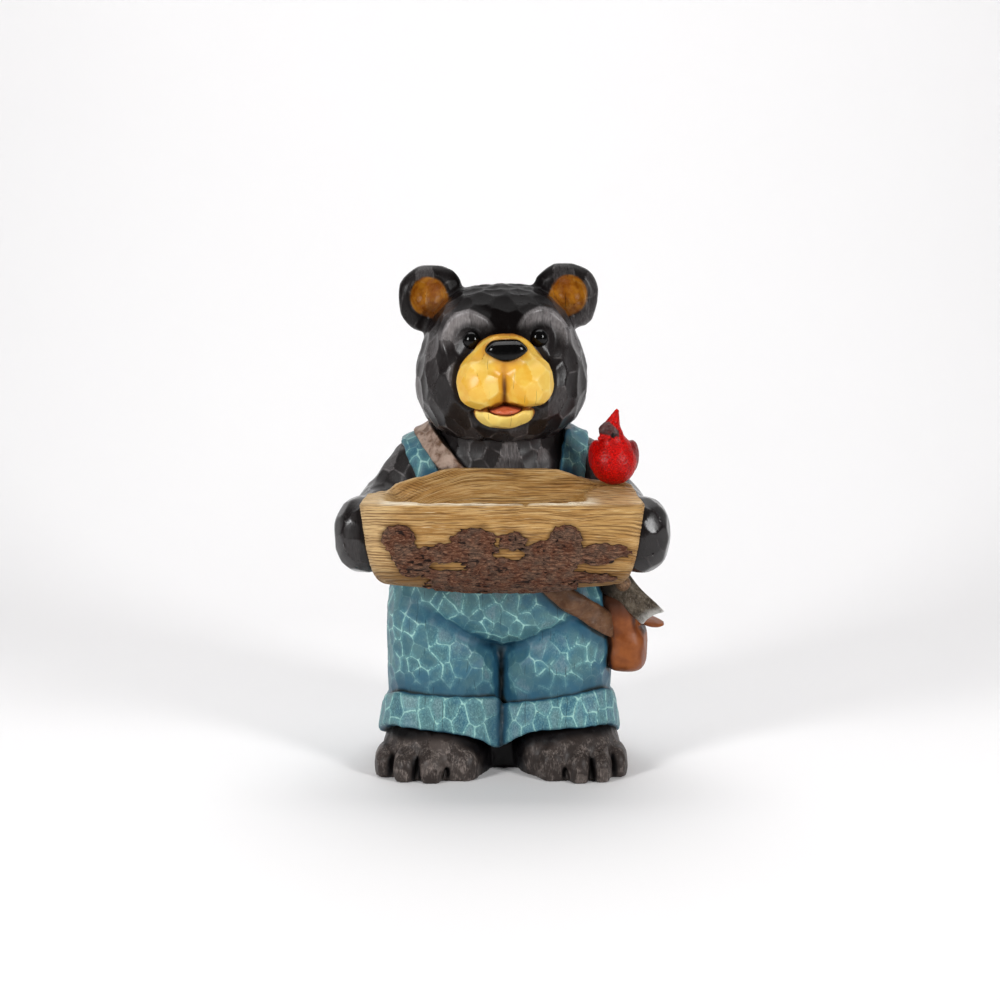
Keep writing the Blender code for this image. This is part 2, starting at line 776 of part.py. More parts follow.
def make_cardinal(log):
    low, high = (-34, -34, -4), (34, 62, 84)
    points, faces = zero_surface(cardinal, low, high, CARDINAL_VOXEL / V)
    obj = new_object("cardinal", points * V, faces, painted("cardinal_paint", (0.5, 0.02, 0.02), 0.5))
    thinned(obj, CARDINAL_TRIANGLES)
    trimmed(obj, 0.0)
    perch_x = LOG_MIDDLE_X * U + LOG_LENGTH / 2 - PERCH_INSET
    perch_y = LOG_BACK_Y * U - PERCH_BACK
    perch_z = max(v.co.z for v in log.data.vertices if math.hypot(v.co.x - perch_x, v.co.y - perch_y) < 0.02)
    obj.location = (perch_x, perch_y, perch_z - 0.0015)
    return obj


def main():
    for obj in list(bpy.data.objects):
        bpy.data.objects.remove(obj)
    log = make_log()
    cutter = seat_cutter(log)
    seated(make_bear(), cutter)
    seated(make_cardinal(log), cutter)


main()
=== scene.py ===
"""The bear bird bath statue as it is painted: finely carved pieces that stand for the three castings.

The forms are the part's own fields, repeated here from the same named values and meshed more finely. Each
colour of paint has its own piece. A piece carries what its paint needs as attributes of its points, such as
how far the nearest ridge of the carving is, a tone for its chip, and how deep in a crease it lies, where the
paint is darkened as painted shade. Lengths in a field are figure units, which are millimetres on a statue 510
mm tall.
"""

import itertools
import math

import bpy
import numpy as np
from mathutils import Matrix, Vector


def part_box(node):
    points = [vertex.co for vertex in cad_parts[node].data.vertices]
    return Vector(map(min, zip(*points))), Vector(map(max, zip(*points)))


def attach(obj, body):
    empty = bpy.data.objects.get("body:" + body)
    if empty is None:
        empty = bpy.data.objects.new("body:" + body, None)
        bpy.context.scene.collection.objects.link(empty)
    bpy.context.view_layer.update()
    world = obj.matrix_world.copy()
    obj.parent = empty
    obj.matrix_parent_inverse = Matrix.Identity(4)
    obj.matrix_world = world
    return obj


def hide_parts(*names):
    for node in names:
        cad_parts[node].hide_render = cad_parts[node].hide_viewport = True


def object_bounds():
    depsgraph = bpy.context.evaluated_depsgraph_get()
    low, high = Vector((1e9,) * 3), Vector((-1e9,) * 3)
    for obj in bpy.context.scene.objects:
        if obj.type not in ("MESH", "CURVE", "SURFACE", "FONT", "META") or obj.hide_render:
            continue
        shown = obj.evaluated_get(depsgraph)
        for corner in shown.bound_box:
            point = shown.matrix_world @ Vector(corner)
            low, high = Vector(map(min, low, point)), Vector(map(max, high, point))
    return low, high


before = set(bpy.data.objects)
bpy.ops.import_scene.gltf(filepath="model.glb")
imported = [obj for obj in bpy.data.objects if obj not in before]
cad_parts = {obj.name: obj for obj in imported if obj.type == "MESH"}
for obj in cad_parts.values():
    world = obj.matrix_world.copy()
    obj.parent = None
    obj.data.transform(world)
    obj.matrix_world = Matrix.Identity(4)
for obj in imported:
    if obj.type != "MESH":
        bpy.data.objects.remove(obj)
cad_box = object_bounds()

import openvdb
from mathutils import Vector

# Sizes in metres, as in the part's source
STATUE_HEIGHT = 0.510
LOG_LENGTH = 0.276
LOG_DEPTH = 0.094
LOG_HEIGHT = 0.092
LOG_BACK_RISE = 0.019
LOG_WALL = 0.011
LOG_LEFT_END = 0.010
LOG_LEFT_SLOPE = 0.085
LOG_RIGHT_END = 0.043
LOG_RIGHT_SLOPE = 0.082
LOG_FLOOR = 0.030
BARK_THICKNESS = 0.0038
CARDINAL_HEIGHT = 0.073
OVERALLS_THICKNESS = 0.0035
CUFF_THICKNESS = 0.007
BRACE_WIDTH = 0.026
SATCHEL_STRAP_WIDTH = 0.021
STRAP_THICKNESS = 0.0045

# The bear is drawn in figure units: millimetres on a statue 510 mm tall
FIGURE_UNITS = 510
U = STATUE_HEIGHT / FIGURE_UNITS

# Where the log lies in the bear's arms, in figure units
LOG_MIDDLE_X = 2.0
LOG_BACK_Y = -54.0
LOG_BOTTOM_Z = 205.0

PI = math.pi


# Fields: p is a tuple of arrays (x, y, z)


def blob(p, centre, size, power=2.0):
    """An ellipsoid, or with a power over 2 a boxier one."""
    parts = [np.abs(axis - c) / s for axis, c, s in zip(p, centre, size)]
    reach = (sum(v**power for v in parts) + 1e-9) ** (1 / power)
    slope = np.sqrt(sum((v ** (power - 1) / s) ** 2 for v, s in zip(parts, size)) + 1e-12)
    return (reach - 1) * reach ** (power - 1) / slope


def limb(p, start, end, start_radius, end_radius):
    """A rod with round ends, thinner or thicker towards its end."""
    along = np.subtract(end, start)
    offset = [axis - s for axis, s in zip(p, start)]
    share = sum(o * a for o, a in zip(offset, along)) / np.dot(along, along)
    share = np.clip(share, 0, 1)
    gap = [o - a * share for o, a in zip(offset, along)]
    radius = start_radius + (end_radius - start_radius) * share
    return np.sqrt(sum(g * g for g in gap)) - radius


def join(a, b, blend=0.0):
    """Both shapes, with a fillet of about this size where they meet."""
    if blend <= 0:
        return np.minimum(a, b)
    close = np.maximum(blend - np.abs(a - b), 0) / blend
    return np.minimum(a, b) - close * close * blend / 4


def common(a, b, blend=0.0):
    """What lies in both shapes."""
    return -join(-a, -b, blend)


def cut(a, b, blend=0.0):
    """The first shape less the second."""
    return common(a, -b, blend)


def ease(value, low, high):
    """0 below low and 1 above high, with a smooth rise between them."""
    t = np.clip((value - low) / (high - low), 0, 1)
    return t * t * (3 - 2 * t)


def bell(value, width=1.0):
    """1 where the value is 0, and almost nothing where it is twice the width or more."""
    return np.exp(-((value / width) ** 2))


def turned(p, centre, yaw=0.0, pitch=0.0, roll=0.0):
    """The points as seen from a frame at centre that is turned by these degrees about Z, X and Y."""
    x, y, z = (axis - c for axis, c in zip(p, centre))
    for first, angle in (("z", yaw), ("x", pitch), ("y", roll)):
        c, s = math.cos(math.radians(angle)), math.sin(math.radians(angle))
        if first == "z":
            x, y = x * c + y * s, y * c - x * s
        elif first == "x":
            y, z = y * c + z * s, z * c - y * s
        else:
            z, x = z * c + x * s, x * c - z * s
    return x, y, z


def mirrored(p):
    """The points folded onto the +X side, for what the figure has twice."""
    return np.abs(p[0]), p[1], p[2]


def along_axes(p, origin, forward, up):
    """The points as seen from origin with X forward, Z up and Y across, where up is squared to forward."""
    f = np.array(forward) / np.linalg.norm(forward)
    u = np.array(up) - np.dot(up, f) * f
    u = u / np.linalg.norm(u)
    across = np.cross(u, f)
    offset = [axis - o for axis, o in zip(p, origin)]
    return tuple(sum(o * a for o, a in zip(offset, axis)) for axis in (f, across, u))


# The bear, in figure units

HEAD_CENTRE = (1.2, -6.0, 408.0)
HEAD_YAW = 3.0
HEAD_ROLL = -1.6


def skull(q):
    cranium = blob(q, (0, 2, 12), (73.4, 78, 70.5), 2.6)
    jaw = blob(q, (0, -1, -15.5), (83.8, 79, 59), 2.3)
    return join(cranium, jaw, 26)


def ear_frame(q):
    """The nearer ear's own axes. The ear on the -X side sits a little higher."""
    lift = 2.6 * (q[0] < 0)
    return turned((np.abs(q[0]), q[1], q[2] - lift), (68, 18, 68), yaw=-8, roll=4)


def ears(q):
    disc = blob(ear_frame(q), (0, 0, 0), (32.5, 15, 33), 2.3)
    return cut(disc, ear_cup(q), 4)


def ear_cup(q):
    return blob(ear_frame(q), (4.3, -17, 3.3), (19.5, 15, 21))


def eye_side(q):
    """The points folded onto one eye's side. The eyes sit a little towards +X of the head's middle."""
    return np.abs(q[0] - 1.9), q[1], q[2]


def eye_hollows(q):
    """How far each point sinks into a wide shallow bowl round an eye, less the arc of brow over it."""
    reach = eye_reach(q)
    bowl = 7 * ease(-reach, -1.0, -0.5)
    arc = 2.2 * bell(reach - 1.06, 0.13) * brow_share(q)
    return (bowl - arc) * ease(-q[1], 20, 40)


def eye_reach(q):
    """Distance from the middle of the nearer eye's bowl, as a share of the bowl's own reach."""
    m = eye_side(q)
    return np.hypot((m[0] - 35) / 26, (m[2] - 32) / 31)


def brow_share(q):
    """1 over the outer half of an eye, falling to 0 towards the nose and below."""
    m = eye_side(q)
    return ease(m[2] - 32 + 0.45 * (m[0] - 35), 2, 24)


def eyes(q):
    return blob(eye_side(q), (33, -61, 36.6), (9, 8.5, 9.3))


LIP_MIDDLE = -2.4


def muzzle(q):
    """Two round pads that meet in a groove, which opens to a notch over the mouth."""
    side = q[0] - LIP_MIDDLE
    m = (np.where(side < 0, -1.053 * side, 0.981 * side), q[1], q[2])
    bridge = blob(q, (0, -64, 4), (38, 33, 38.5))
    top = blob(q, (0, -82, 24), (23, 25, 16), 2.2)
    lobe = blob(m, (22.4, -81, -3), (25.1, 30, 24.5), 2.3)
    pads = join(join(bridge, top, 9), lobe, 10)
    cleft = limb(q, (LIP_MIDDLE + 1, -111, 18), (LIP_MIDDLE, -106, -20), 1.2, 2.4)
    notch = limb(q, (LIP_MIDDLE, -107, -8), (LIP_MIDDLE, -97, -33), 1.5, 8)
    return cut(cut(pads, cleft, 4), notch, 5)


def nose(q):
    """A pad that is widest above its middle and narrows to a blunt foot."""
    pad = blob(q, (0.3, -99, 30), (21.8, 17, 10.5), 3.2)
    low, high = 0.60, 1.0
    foot = (np.abs(q[0] - 0.3) * low - (q[2] - 17.2)) / math.hypot(1, low)
    brim = (np.abs(q[0] - 0.3) * high + (q[2] - 53.5)) / math.hypot(1, high)
    return common(common(pad, foot, 3), brim, 3)


def chin(q):
    return blob(q, (-1.5, -70, -31), (29.5, 31, 18), 2.1)


def mouth(q):
    return blob(q, (-1.5, -98, -26), (17, 34, 7.5))


def tongue(q):
    return blob(q, (-1.5, -84, -29.5), (16, 19, 5))


def snout_of(q):
    """The two pads of the muzzle over the hollowed chin, with a groove between them."""
    pads = muzzle(q)
    jaw = cut(chin(q), mouth(q), 2) + 2.4 * bell(pads, 3)
    return join(pads, jaw)


MUZZLE_GUTTER = 3.0


def head_frame(p):
    return turned(p, HEAD_CENTRE, yaw=HEAD_YAW, roll=HEAD_ROLL)


def fur_of_head(q):
    """The head less its muzzle, nose, eyes and tongue, with a gutter round the muzzle."""
    face = join(skull(q) + eye_hollows(q), ears(q), 9)
    face = face + MUZZLE_GUTTER * bell(snout_of(q), 4)
    return cut(face, mouth(q), 2)


def head(p):
    q = head_frame(p)
    face = join(join(fur_of_head(q), snout_of(q)), tongue(q))
    face = join(face, nose(q), 1)
    return join(face, eyes(q), 1)


def torso(p):
    chest = blob(p, (0, 20, 286), (88, 76, 64), 2.3)
    belly = blob(p, (0, 10, 200), (109, 86, 82), 2.3)
    neck = limb(p, (0, 12, 300), (0, 2, 352), 60, 58)
    shoulder = limb(mirrored(p), (40, 16, 305), (75, 14, 301), 35, 33)
    return join(join(join(chest, belly, 30), neck, 20), shoulder, 16)


PAW_Z = 256.0
PAW_Y = -95.0


def paw_x(reach):
    """The log's half length plus reach, as the paws clasp its ends."""
    return LOG_LENGTH / 2 / U + reach


def arms(p):
    m = mirrored((p[0] - LOG_MIDDLE_X / 2, p[1], p[2]))
    elbow = (114, 2, 258)
    upper = limb(m, (80, 12, 297), elbow, 37, 33)
    fore = limb(m, elbow, (paw_x(-9), PAW_Y + 24, PAW_Z), 33, 27)
    return join(upper, fore, 8)


def paws(p):
    m = mirrored((p[0] - LOG_MIDDLE_X, p[1], p[2]))
    return blob(m, (paw_x(-3), PAW_Y, PAW_Z), (29, 34, 37), 2.3)


LEG_X = 55.0
INSEAM_X = 1.4
LAP_FOLDS = ((-84, 177), (INSEAM_X, 125), (92, 169))


def one_leg(p):
    """The points folded about the inseam onto one leg. The leg at +X is a little slimmer."""
    x = p[0] - INSEAM_X
    return np.where(x > 0, x * 1.035, -x), p[1], p[2]


def legs(p):
    m = one_leg(p)
    thigh = blob(m, (LEG_X, 8, 136), (58.5, 74, 80), 3)
    shin = blob(m, (LEG_X, 6, 60), (57, 67, 70), 3)
    seat = blob(p, (0, 40, 130), (92, 64, 62), 2.3)
    inseam = blob(p, (INSEAM_X, -15, 92), (12, 21, 64), 2.3)
    return join(join(join(thigh, shin, 10), seat, 14), inseam, 7)


def lap_line(p):
    """Height over the V where belly and thighs meet, and how far out along it as a share of its arm."""
    left, middle, right = LAP_FOLDS
    low = middle[1]
    side = np.where(p[0] < middle[0], middle[0] - left[0], right[0] - middle[0])
    rise = np.where(p[0] < middle[0], left[1] - low, right[1] - low)
    share = np.abs(p[0] - middle[0]) / side
    return (p[2] - low - rise * share) / np.hypot(1, rise / side), share


def lap_folds(p):
    """How deep the belly's hanging edge is pressed in over the thighs, in a V down to the crotch."""
    away, share = lap_line(p)
    depth = 13 - 6 * ease(share, 0.1, 1.0)
    valley = depth * bell(np.where(away > 0, away / 7, away / 15))
    hang = 3.5 * bell(away - 18, 13)
    return (valley - hang) * ease(-share, -1.25, -0.75) * ease(-p[1], 10, 40)


def hem(p):
    """The middle height that the trouser cuffs hang about, which the instep lifts in front."""
    return 26 + 26 * ease(-p[1], -10, 66)


CUFF_FLARE = 0.09


def cuffs(p):
    """The turned-up ends of the legs. They hang lowest at the inseam, and the left one most."""
    m = one_leg(p)
    x = p[0] - INSEAM_X
    base = hem(p)
    right = ease(x, -3, 3)
    high = base + 29 + 0.055 * np.abs(x) - (7.5 - 0.11 * np.abs(x)) * right
    low = base - 30 * ease(-p[1], -10, 66) * np.exp(-np.hypot(x, 5) / (30 - 12.5 * right))
    thick = (CUFF_THICKNESS + OVERALLS_THICKNESS) / U
    flare = 1 + CUFF_FLARE * np.clip((high - p[2]) / (high - low), 0, 1)
    q = ((m[0] - LEG_X) / flare, (m[1] - 6) / flare, m[2])
    shape = blob(q, (0, 0, 66), (56 + thick, 66 + thick, 160), 3)
    return common(shape, common(low - p[2], p[2] - high), 6)


TOES = ((-40, -62, 17.5), (-71.5, -71, 15), (-97.5, -67, 13), (-117.5, -50, 11.5))
TOE_GROOVES = (-57.5, -85.5, -109.5)
TOE_LENGTH = 25.0


def feet(p):
    side = p[0] - 2.0
    m = (np.where(side > 0, 1.15 * (111 - side) - 110, side), p[1], p[2])
    instep = blob(m, (-66, -17, 6), (57, 69, 56), 2.3)
    heel = blob(m, (-64, 42, 8), (48, 44, 40), 2.5)
    inner = blob(p, (38, -20, 20), (26, 54, 36))
    sole = join(join(instep, inner, 12), heel, 20)
    for x, y, radius in TOES:
        toe = blob(m, (x, y, 10), (radius, TOE_LENGTH, radius + 7), 2.5)
        sole = join(sole, toe, 5)
    for x, toe, next_toe in zip(TOE_GROOVES, TOES, TOES[1:]):
        front = (toe[1] + next_toe[1]) / 2 - TOE_LENGTH + 1
        groove = limb(m, (x, front, -6), (x + 2, front + 15, 26), 2.6, 0.6)
        sole = cut(sole, groove, 5)
    return sole


def web(p):
    """The block that joins the feet, set back between them."""
    return blob(p, (0, 22, 8), (40, 62, 34), 5)


def bib_top(p):
    """How high the overalls reach: a bib in front, a panel behind and lower sides."""
    across = ease(-np.abs(p[0]), -86, -58)
    return 236 + np.where(p[1] < 20, 54, 56) * across


def brace_band(p):
    """Distance outside the two shoulder straps. The one on the -X side leans in more towards the bib."""
    lean = np.where(p[0] < 0, 0.5, 0.14)
    middle = np.where(p[0] < 0, 76, 73) + lean * (p[2] - 312)
    half = BRACE_WIDTH / U / 2
    return np.abs(np.abs(p[0]) - middle) / np.hypot(1, lean) - half


def satchel_band(p):
    """Distance outside the satchel's strap, which slants round the body and is less steep at the satchel."""
    slope = 1.13
    bend = 0.38
    half = SATCHEL_STRAP_WIDTH / U / 2
    middle = p[2] + slope * p[0] - bend * np.maximum(p[0] - 58, 0) - 258
    return np.abs(middle) / np.hypot(1, slope - bend * ease(p[0], 40, 76)) - half


def clothed(p):
    """The body under the overalls."""
    return join(torso(p), legs(p), 7) + lap_folds(p)


SATCHEL_CENTRE = (129, -12, 124)


def overalls(p, body):
    cloth = OVERALLS_THICKNESS / U
    strap = STRAP_THICKNESS / U
    layer = common(body - cloth, p[2] - bib_top(p), 3)
    layer = common(layer, hem(p) + 4 - p[2], 3)
    brace = common(brace_band(p), bib_top(p) - 14 - p[2], 1)
    brace = common(body - cloth - strap, brace, 3)
    return join(layer, brace, 2)


def satchel_strap(p, body):
    reach = (OVERALLS_THICKNESS + STRAP_THICKNESS * 1.5) / U
    above = SATCHEL_CENTRE[2] + 14 - p[2]
    return common(common(body - reach, satchel_band(p), 3), above, 3)


def satchel(p):
    """A soft pouch with its mouth gathered up towards the strap, and a flap that sticks out."""
    q = turned(p, SATCHEL_CENTRE, yaw=-6, roll=3)
    taper = 1 + q[2] * 0.003
    pouch = blob((q[0] * taper, q[1] * taper, q[2]), (0, 0, 0), (21.5, 35, 25), 3.2)
    gather = blob(p, (119, -34, 165), (21, 14, 27))
    flap = turned(q, (22, -2, 26.5), roll=8)
    flap_tongue = blob(flap, (0, 0, 0), (16.5, 18, 3.6))
    return join(join(pouch, gather, 14), flap_tongue, 4)


HATCHET_EYE = (122, -45, 190.5)
HATCHET_FORWARD = (0.72, -0.25, -0.65)
HATCHET_UP = (0.50, -0.52, 0.69)
HATCHET_POLL = -15
HATCHET_EDGE = 43


def hatchet_frame(p):
    """The hatchet's own axes: X towards its edge, Y through its cheeks and Z along its handle."""
    return along_axes(p, HATCHET_EYE, HATCHET_FORWARD, HATCHET_UP)


def hatchet_head(p):
    x, y, z = hatchet_frame(p)
    share = np.clip((x - HATCHET_POLL) / (HATCHET_EDGE - HATCHET_POLL), 0, 1)
    thickness = 9 - 7.4 * share**0.9
    waist = 16 - 2.5 * np.sin(PI * share) ** 2
    cheeks = common(np.abs(y) - thickness, np.abs(z) - waist, 2)
    bow = HATCHET_EDGE + 0.012 * z * z + 0.25 * z - 1
    return common(cheeks, common(HATCHET_POLL - x, x - bow, 1), 2) * 0.95


def hatchet_handle(p):
    """The knob that shows on the hatchet's eye. The rest of the handle is inside the satchel."""
    return limb(hatchet_frame(p), (-1, -3, 8), (-1, -8, 13), 7.8, 7.2)


def bear(p):
    body = clothed(p)
    worn = join(body, join(overalls(p, body), cuffs(p), 2), 0.5)
    worn = join(worn, satchel_strap(p, body), 1)
    fur = join(join(arms(p), paws(p), 6), head(p), 4)
    figure = join(worn, fur, 5)
    figure = join(figure, join(feet(p), web(p), 4), 2)
    tools = join(join(satchel(p), hatchet_handle(p), 2), hatchet_head(p), 1)
    return join(figure, tools, 3)


# The log trough, in figure units


def log_frame(p):
    """The points from the middle of the log's underside, as if its back were upright at Y = 0."""
    return p[0] - LOG_MIDDLE_X, p[1] - LOG_BACK_Y, p[2] - LOG_BOTTOM_Z


LOG_RIM = (
    (-138, -0.25), (-114, -0.2), (-106, 0.15), (-96, 0.34), (-88, 0.46), (-76, 0.58), (-60, 0.9), (-48, 1),
    (53, 0.97), (70, 0.66), (90, 0.38), (120, 0.32), (138, 0.05),
)
LOG_SAG = (3.0, 9.0)


def log_rim(q):
    """How high the log's split top stands: level in front, with a broken hump along the back."""
    behind = ease(q[1], -42, -12)
    x, rise = zip(*LOG_RIM)
    hump = np.interp(q[0], x, rise)
    return LOG_HEIGHT / U + LOG_BACK_RISE / U * behind * hump


def log_outside(p, bark=False):
    """The round underside, upright faces and slightly tapered ends, with no hollow."""
    q = log_frame(p)
    half, depth = LOG_LENGTH / 2 / U, LOG_DEPTH / U
    radius = depth / 2
    sag = LOG_SAG[0] - LOG_SAG[1] * (q[0] / half) ** 2
    low = np.maximum(radius - q[2] - sag, 0)
    trunk = np.hypot(q[1] + radius, low) - radius
    trunk = np.maximum(trunk, np.abs(q[1] + radius) - radius)
    taper = 0.14 * np.maximum(88 - q[2], 0) + 0.1 * np.clip(q[1] + depth, 0, depth)
    ends = np.abs(q[0]) - (half - taper)
    whole = common(trunk, ends, 12)
    if bark:
        whole = whole - BARK_THICKNESS / U * bark_cover(q)
    return common(whole, q[2] - log_rim(q), 3)


BARK_PATCHES = (
    (-99, 57, 16, 14), (-94, 44, 14, 14), (-87, 31, 14, 13), (-42, 43, 42, 10), (-27, 55, 22, 13),
    (10, 55, 14, 9), (0, 21, 77, 17), (47, 40, 31, 15), (61, 55, 16, 16), (0, 6, 72, 14),
    (92, 42, 20, 11), (110, 45, 14, 5.5), (88, 16, 21, 6),
)
BARK_GAPS = ((6, 42.4, 13, 4), (-52, 30, 19, 4.5))


def oval(q, patch):
    """Distance outside an oval that lies on the log's front, given as middle and reaches."""
    x, z, reach_x, reach_z = patch
    share = np.hypot((q[0] - x) / reach_x, (q[2] - z) / reach_z)
    return (share - 1) * min(reach_x, reach_z)


def bark_patches(q):
    """Distance outside the patches of bark on the log's front."""
    outside = oval(q, BARK_PATCHES[0])
    for patch in BARK_PATCHES[1:]:
        outside = join(outside, oval(q, patch), 3)
    for gap in BARK_GAPS:
        outside = np.maximum(outside, -oval(q, gap))
    return outside


def bark_cover(q):
    """1 where bark still clings to the log's lower front and underside."""
    return ease(-bark_patches(q), -1, 2.5) * ease(-q[1], 4, 12)


def log_hollow(p):
    """The water's place: a basin with steep long walls, whose floor slopes up to the log's ends."""
    q = log_frame(p)
    half, depth = LOG_LENGTH / 2 / U, LOG_DEPTH / U
    floor, top = LOG_FLOOR / U, LOG_HEIGHT / U
    left, right = LOG_LEFT_END / U - half, half - LOG_RIGHT_END / U
    inside = ease(q[0], left, left + LOG_LEFT_SLOPE / U)
    inside = np.minimum(inside, ease(-q[0], -right, LOG_RIGHT_SLOPE / U - right))
    bottom = top + 3 - (top + 3 - floor) * inside
    lip = 4.5 * ease(q[2], top - 9, top + 1)
    across = depth / 2 - LOG_WALL / U - 0.06 * np.maximum(top - q[2], 0) + lip
    narrow = 10 * (1 - inside)
    walls = np.abs(q[1] + depth / 2 - narrow / 2) - (across - narrow / 2)
    return common(walls * 0.9, (bottom - q[2]) * 0.6, 10)


def log_trough(p):
    return cut(log_outside(p, bark=True), log_hollow(p), 2)


# The cardinal, in millimetres of a bird 73 mm tall, from the middle of its underside

CARDINAL_UNITS = 73
V = CARDINAL_HEIGHT / CARDINAL_UNITS
CARDINAL_HEAD_TURN = 55
PERCH_INSET = 0.027
PERCH_BACK = 0.013


def cardinal_head_frame(p):
    return turned(p, (-3.2, -2, 48), yaw=-CARDINAL_HEAD_TURN)


def crest(h):
    face = limb(h, (0, -4, 5), (0, -7.5, 6), 9, 7)
    return join(face, limb(h, (0, 0, 9), (0, 6, 23.8), 8.5, 2.2), 3)


def beak(h):
    return limb(h, (0, -8, 0), (0, -15, -1.6), 4.8, 2.1)


def cardinal_body(p):
    breast = blob(p, (-1, 0, 21.5), (22.5, 23, 22.5), 2.05)
    shoulders = blob(p, (0, 2, 36), (14, 14, 12))
    back = limb(p, (0, 10, 27), (0, 22, 16), 14, 8)
    return join(join(breast, shoulders, 9), back, 8)


def wings(p):
    m = mirrored((p[0] + 0.3, p[1], p[2]))
    wing = turned(m, (17, 8, 26), yaw=-10, pitch=-25)
    return blob(wing, (0, 1, 0), (7.2, 18, 15.5), 2.2)


def tail(p):
    q = turned(p, (0, 24, 14), pitch=4)
    return blob(q, (0, 7, 0), (8, 17, 4), 3)


def cardinal(p):
    h = cardinal_head_frame(p)
    bird = join(cardinal_body(p), blob(h, (0, 0, 0), (11, 11.5, 11.5)), 5)
    bird = join(bird, crest(h), 3)
    bird = join(bird, beak(h), 1.5)
    bird = join(bird, wings(p), 1.5)
    return join(bird, tail(p), 3)


# Relief: smooth random swells, and the chips of the carving

RANDOM = np.random.default_rng(7).random((32, 32, 32))
CHIP_CANDIDATES = 24000
BATCH = 20000


def swell(p, size, octaves=1):
    """Smooth random values from about -1 to 1, one swell to each size, and finer ones in further octaves."""
    total, weight = 0.0, 1.0
    axes = [axis / s for axis, s in zip(p, size)]
    for octave in range(octaves):
        corners, shares = [], []
        for v in axes:
            whole = np.floor(v)
            part = v - whole
            corners.append(whole.astype(np.int64))
            shares.append(part * part * (3 - 2 * part))
        value = 0.0
        for step in itertools.product((0, 1), repeat=3):
            share = 1.0
            for s, one in zip(shares, step):
                share = share * (s if one else 1 - s)
            spot = tuple((c + one + 7 * octave) & 31 for c, one in zip(corners, step))
            value = value + share * RANDOM[spot]
        total = total + weight * (2 * value - 1)
        weight *= 0.5
        axes = [v * 2.03 + 5.3 for v in axes]
    return total


def chip_centres(points, spacing, random):
    """Points of a surface picked in random order, each kept if it is far enough from those before it."""
    picked = points[random.permutation(len(points))[:CHIP_CANDIDATES]]
    free = np.ones(len(picked), bool)
    kept = []
    for i, point in enumerate(picked):
        if free[i]:
            kept.append(point)
            free &= ((picked - point) ** 2).sum(1) > spacing**2
    return np.array(kept)


def two_nearest(points, centres, heights, curve):
    """The two lowest scoops at each point: which they are and how high they stand there."""
    first, second = np.empty(len(points), int), np.empty(len(points), int)
    low, next_low = np.empty(len(points)), np.empty(len(points))
    offset = (centres**2).sum(1) * curve + heights
    for start in range(0, len(points), BATCH):
        some = points[start : start + BATCH]
        rows = np.arange(len(some))
        height = (some**2).sum(1)[:, None] * curve + offset[None] - 2 * curve * (some @ centres.T)
        for order, lowest in ((first, low), (second, next_low)):
            pick = height.argmin(1)
            order[start : start + BATCH] = pick
            lowest[start : start + BATCH] = height[rows, pick]
            height[rows, pick] = np.inf
    return first, second, low, next_low


def warped(points, wobble, size=11.0):
    """The points pushed about at random, which bends the edges of the chips."""
    p = tuple(points.T)
    push = [swell(tuple(v + 31 * axis for v in p), (size, size, size)) for axis in range(3)]
    return points + wobble * np.stack(push, 1)


def chips(
    points, normals, snap, spacing, depth, stretch=(1, 1, 1), seed=1, unevenness=0.25, wobble=1.2, gap=0.8,
):
    """Scoops cut side by side: the points moved onto the nearest ridge, and there how far each stands proud,
    how far it is from a ridge, and its chip's tone."""
    random = np.random.default_rng(seed)
    stretch = np.array(stretch, float)
    bent = warped(points, wobble) * stretch
    centres = chip_centres(bent, spacing * gap, random)
    heights = depth * unevenness * random.uniform(-1, 1, len(centres))
    tones = random.random(len(centres))
    curve = depth / (spacing / 2) ** 2
    first, second, low, next_low = two_nearest(bent, centres, heights, curve)
    across = (centres[second] - centres[first]) * stretch
    length = np.linalg.norm(across, axis=1) + 1e-9
    away = (next_low - low) / (2 * curve * length)
    across /= length[:, None]
    along = across - normals * (across * normals).sum(1)[:, None]
    reach = (along**2).sum(1) + 1e-6
    close = away / np.sqrt(reach) < snap
    push = along * (np.where(close, away, 0) / reach)[:, None]
    height = curve * ((bent + push * stretch - centres[first]) ** 2).sum(1) + heights[first]
    proud = np.clip(height, -depth, 1.4 * depth) - 0.6 * depth
    return points + push, proud, np.where(close, 0, away), tones[first]


# Meshes

COARSE = 1.0
BLOCKS_AT_ONCE = 300
PIT_REACH = 5
FOLD_REACH = 14
# How near a ridge a point is moved onto it, as a share of the voxel
SNAP_SHARE = 0.48
NO_RIDGE = 20.0


def surface(field, low, high, voxel, block=8):
    """Points and quads of the field's zero surface. Blocks of the grid far from it aren't worked out."""
    voxel = np.array(voxel, float) * np.ones(3) * COARSE
    low = np.array(low, float)
    blocks = np.ceil((np.array(high) - low) / voxel / block).astype(int)
    index = np.stack(np.meshgrid(*(np.arange(n) for n in blocks), indexing="ij"), -1).reshape(-1, 3)
    distance = field(tuple((low + (index * block + (block - 1) / 2) * voxel).T))
    band = 3 * voxel.min()
    far = np.where(distance < 0, -band, band).astype(np.float32).reshape(blocks)
    values = far.repeat(block, 0).repeat(block, 1).repeat(block, 2)
    near = index[np.abs(distance) < 0.9 * block * np.linalg.norm(voxel) + band]
    steps = np.stack(np.meshgrid(*(np.arange(block),) * 3, indexing="ij"), -1).reshape(-1, 3)
    for start in range(0, len(near), BLOCKS_AT_ONCE):
        cells = (near[start : start + BLOCKS_AT_ONCE, None] * block + steps).reshape(-1, 3)
        values[tuple(cells.T)] = np.clip(field(tuple((low + cells * voxel).T)), -band, band)
    grid = openvdb.FloatGrid(band)
    grid.copyFromArray(values)
    points, quads = grid.convertToQuads(isovalue=0.0)
    return without_crumbs(low + points.astype(float) * voxel, quads.astype(np.int64))


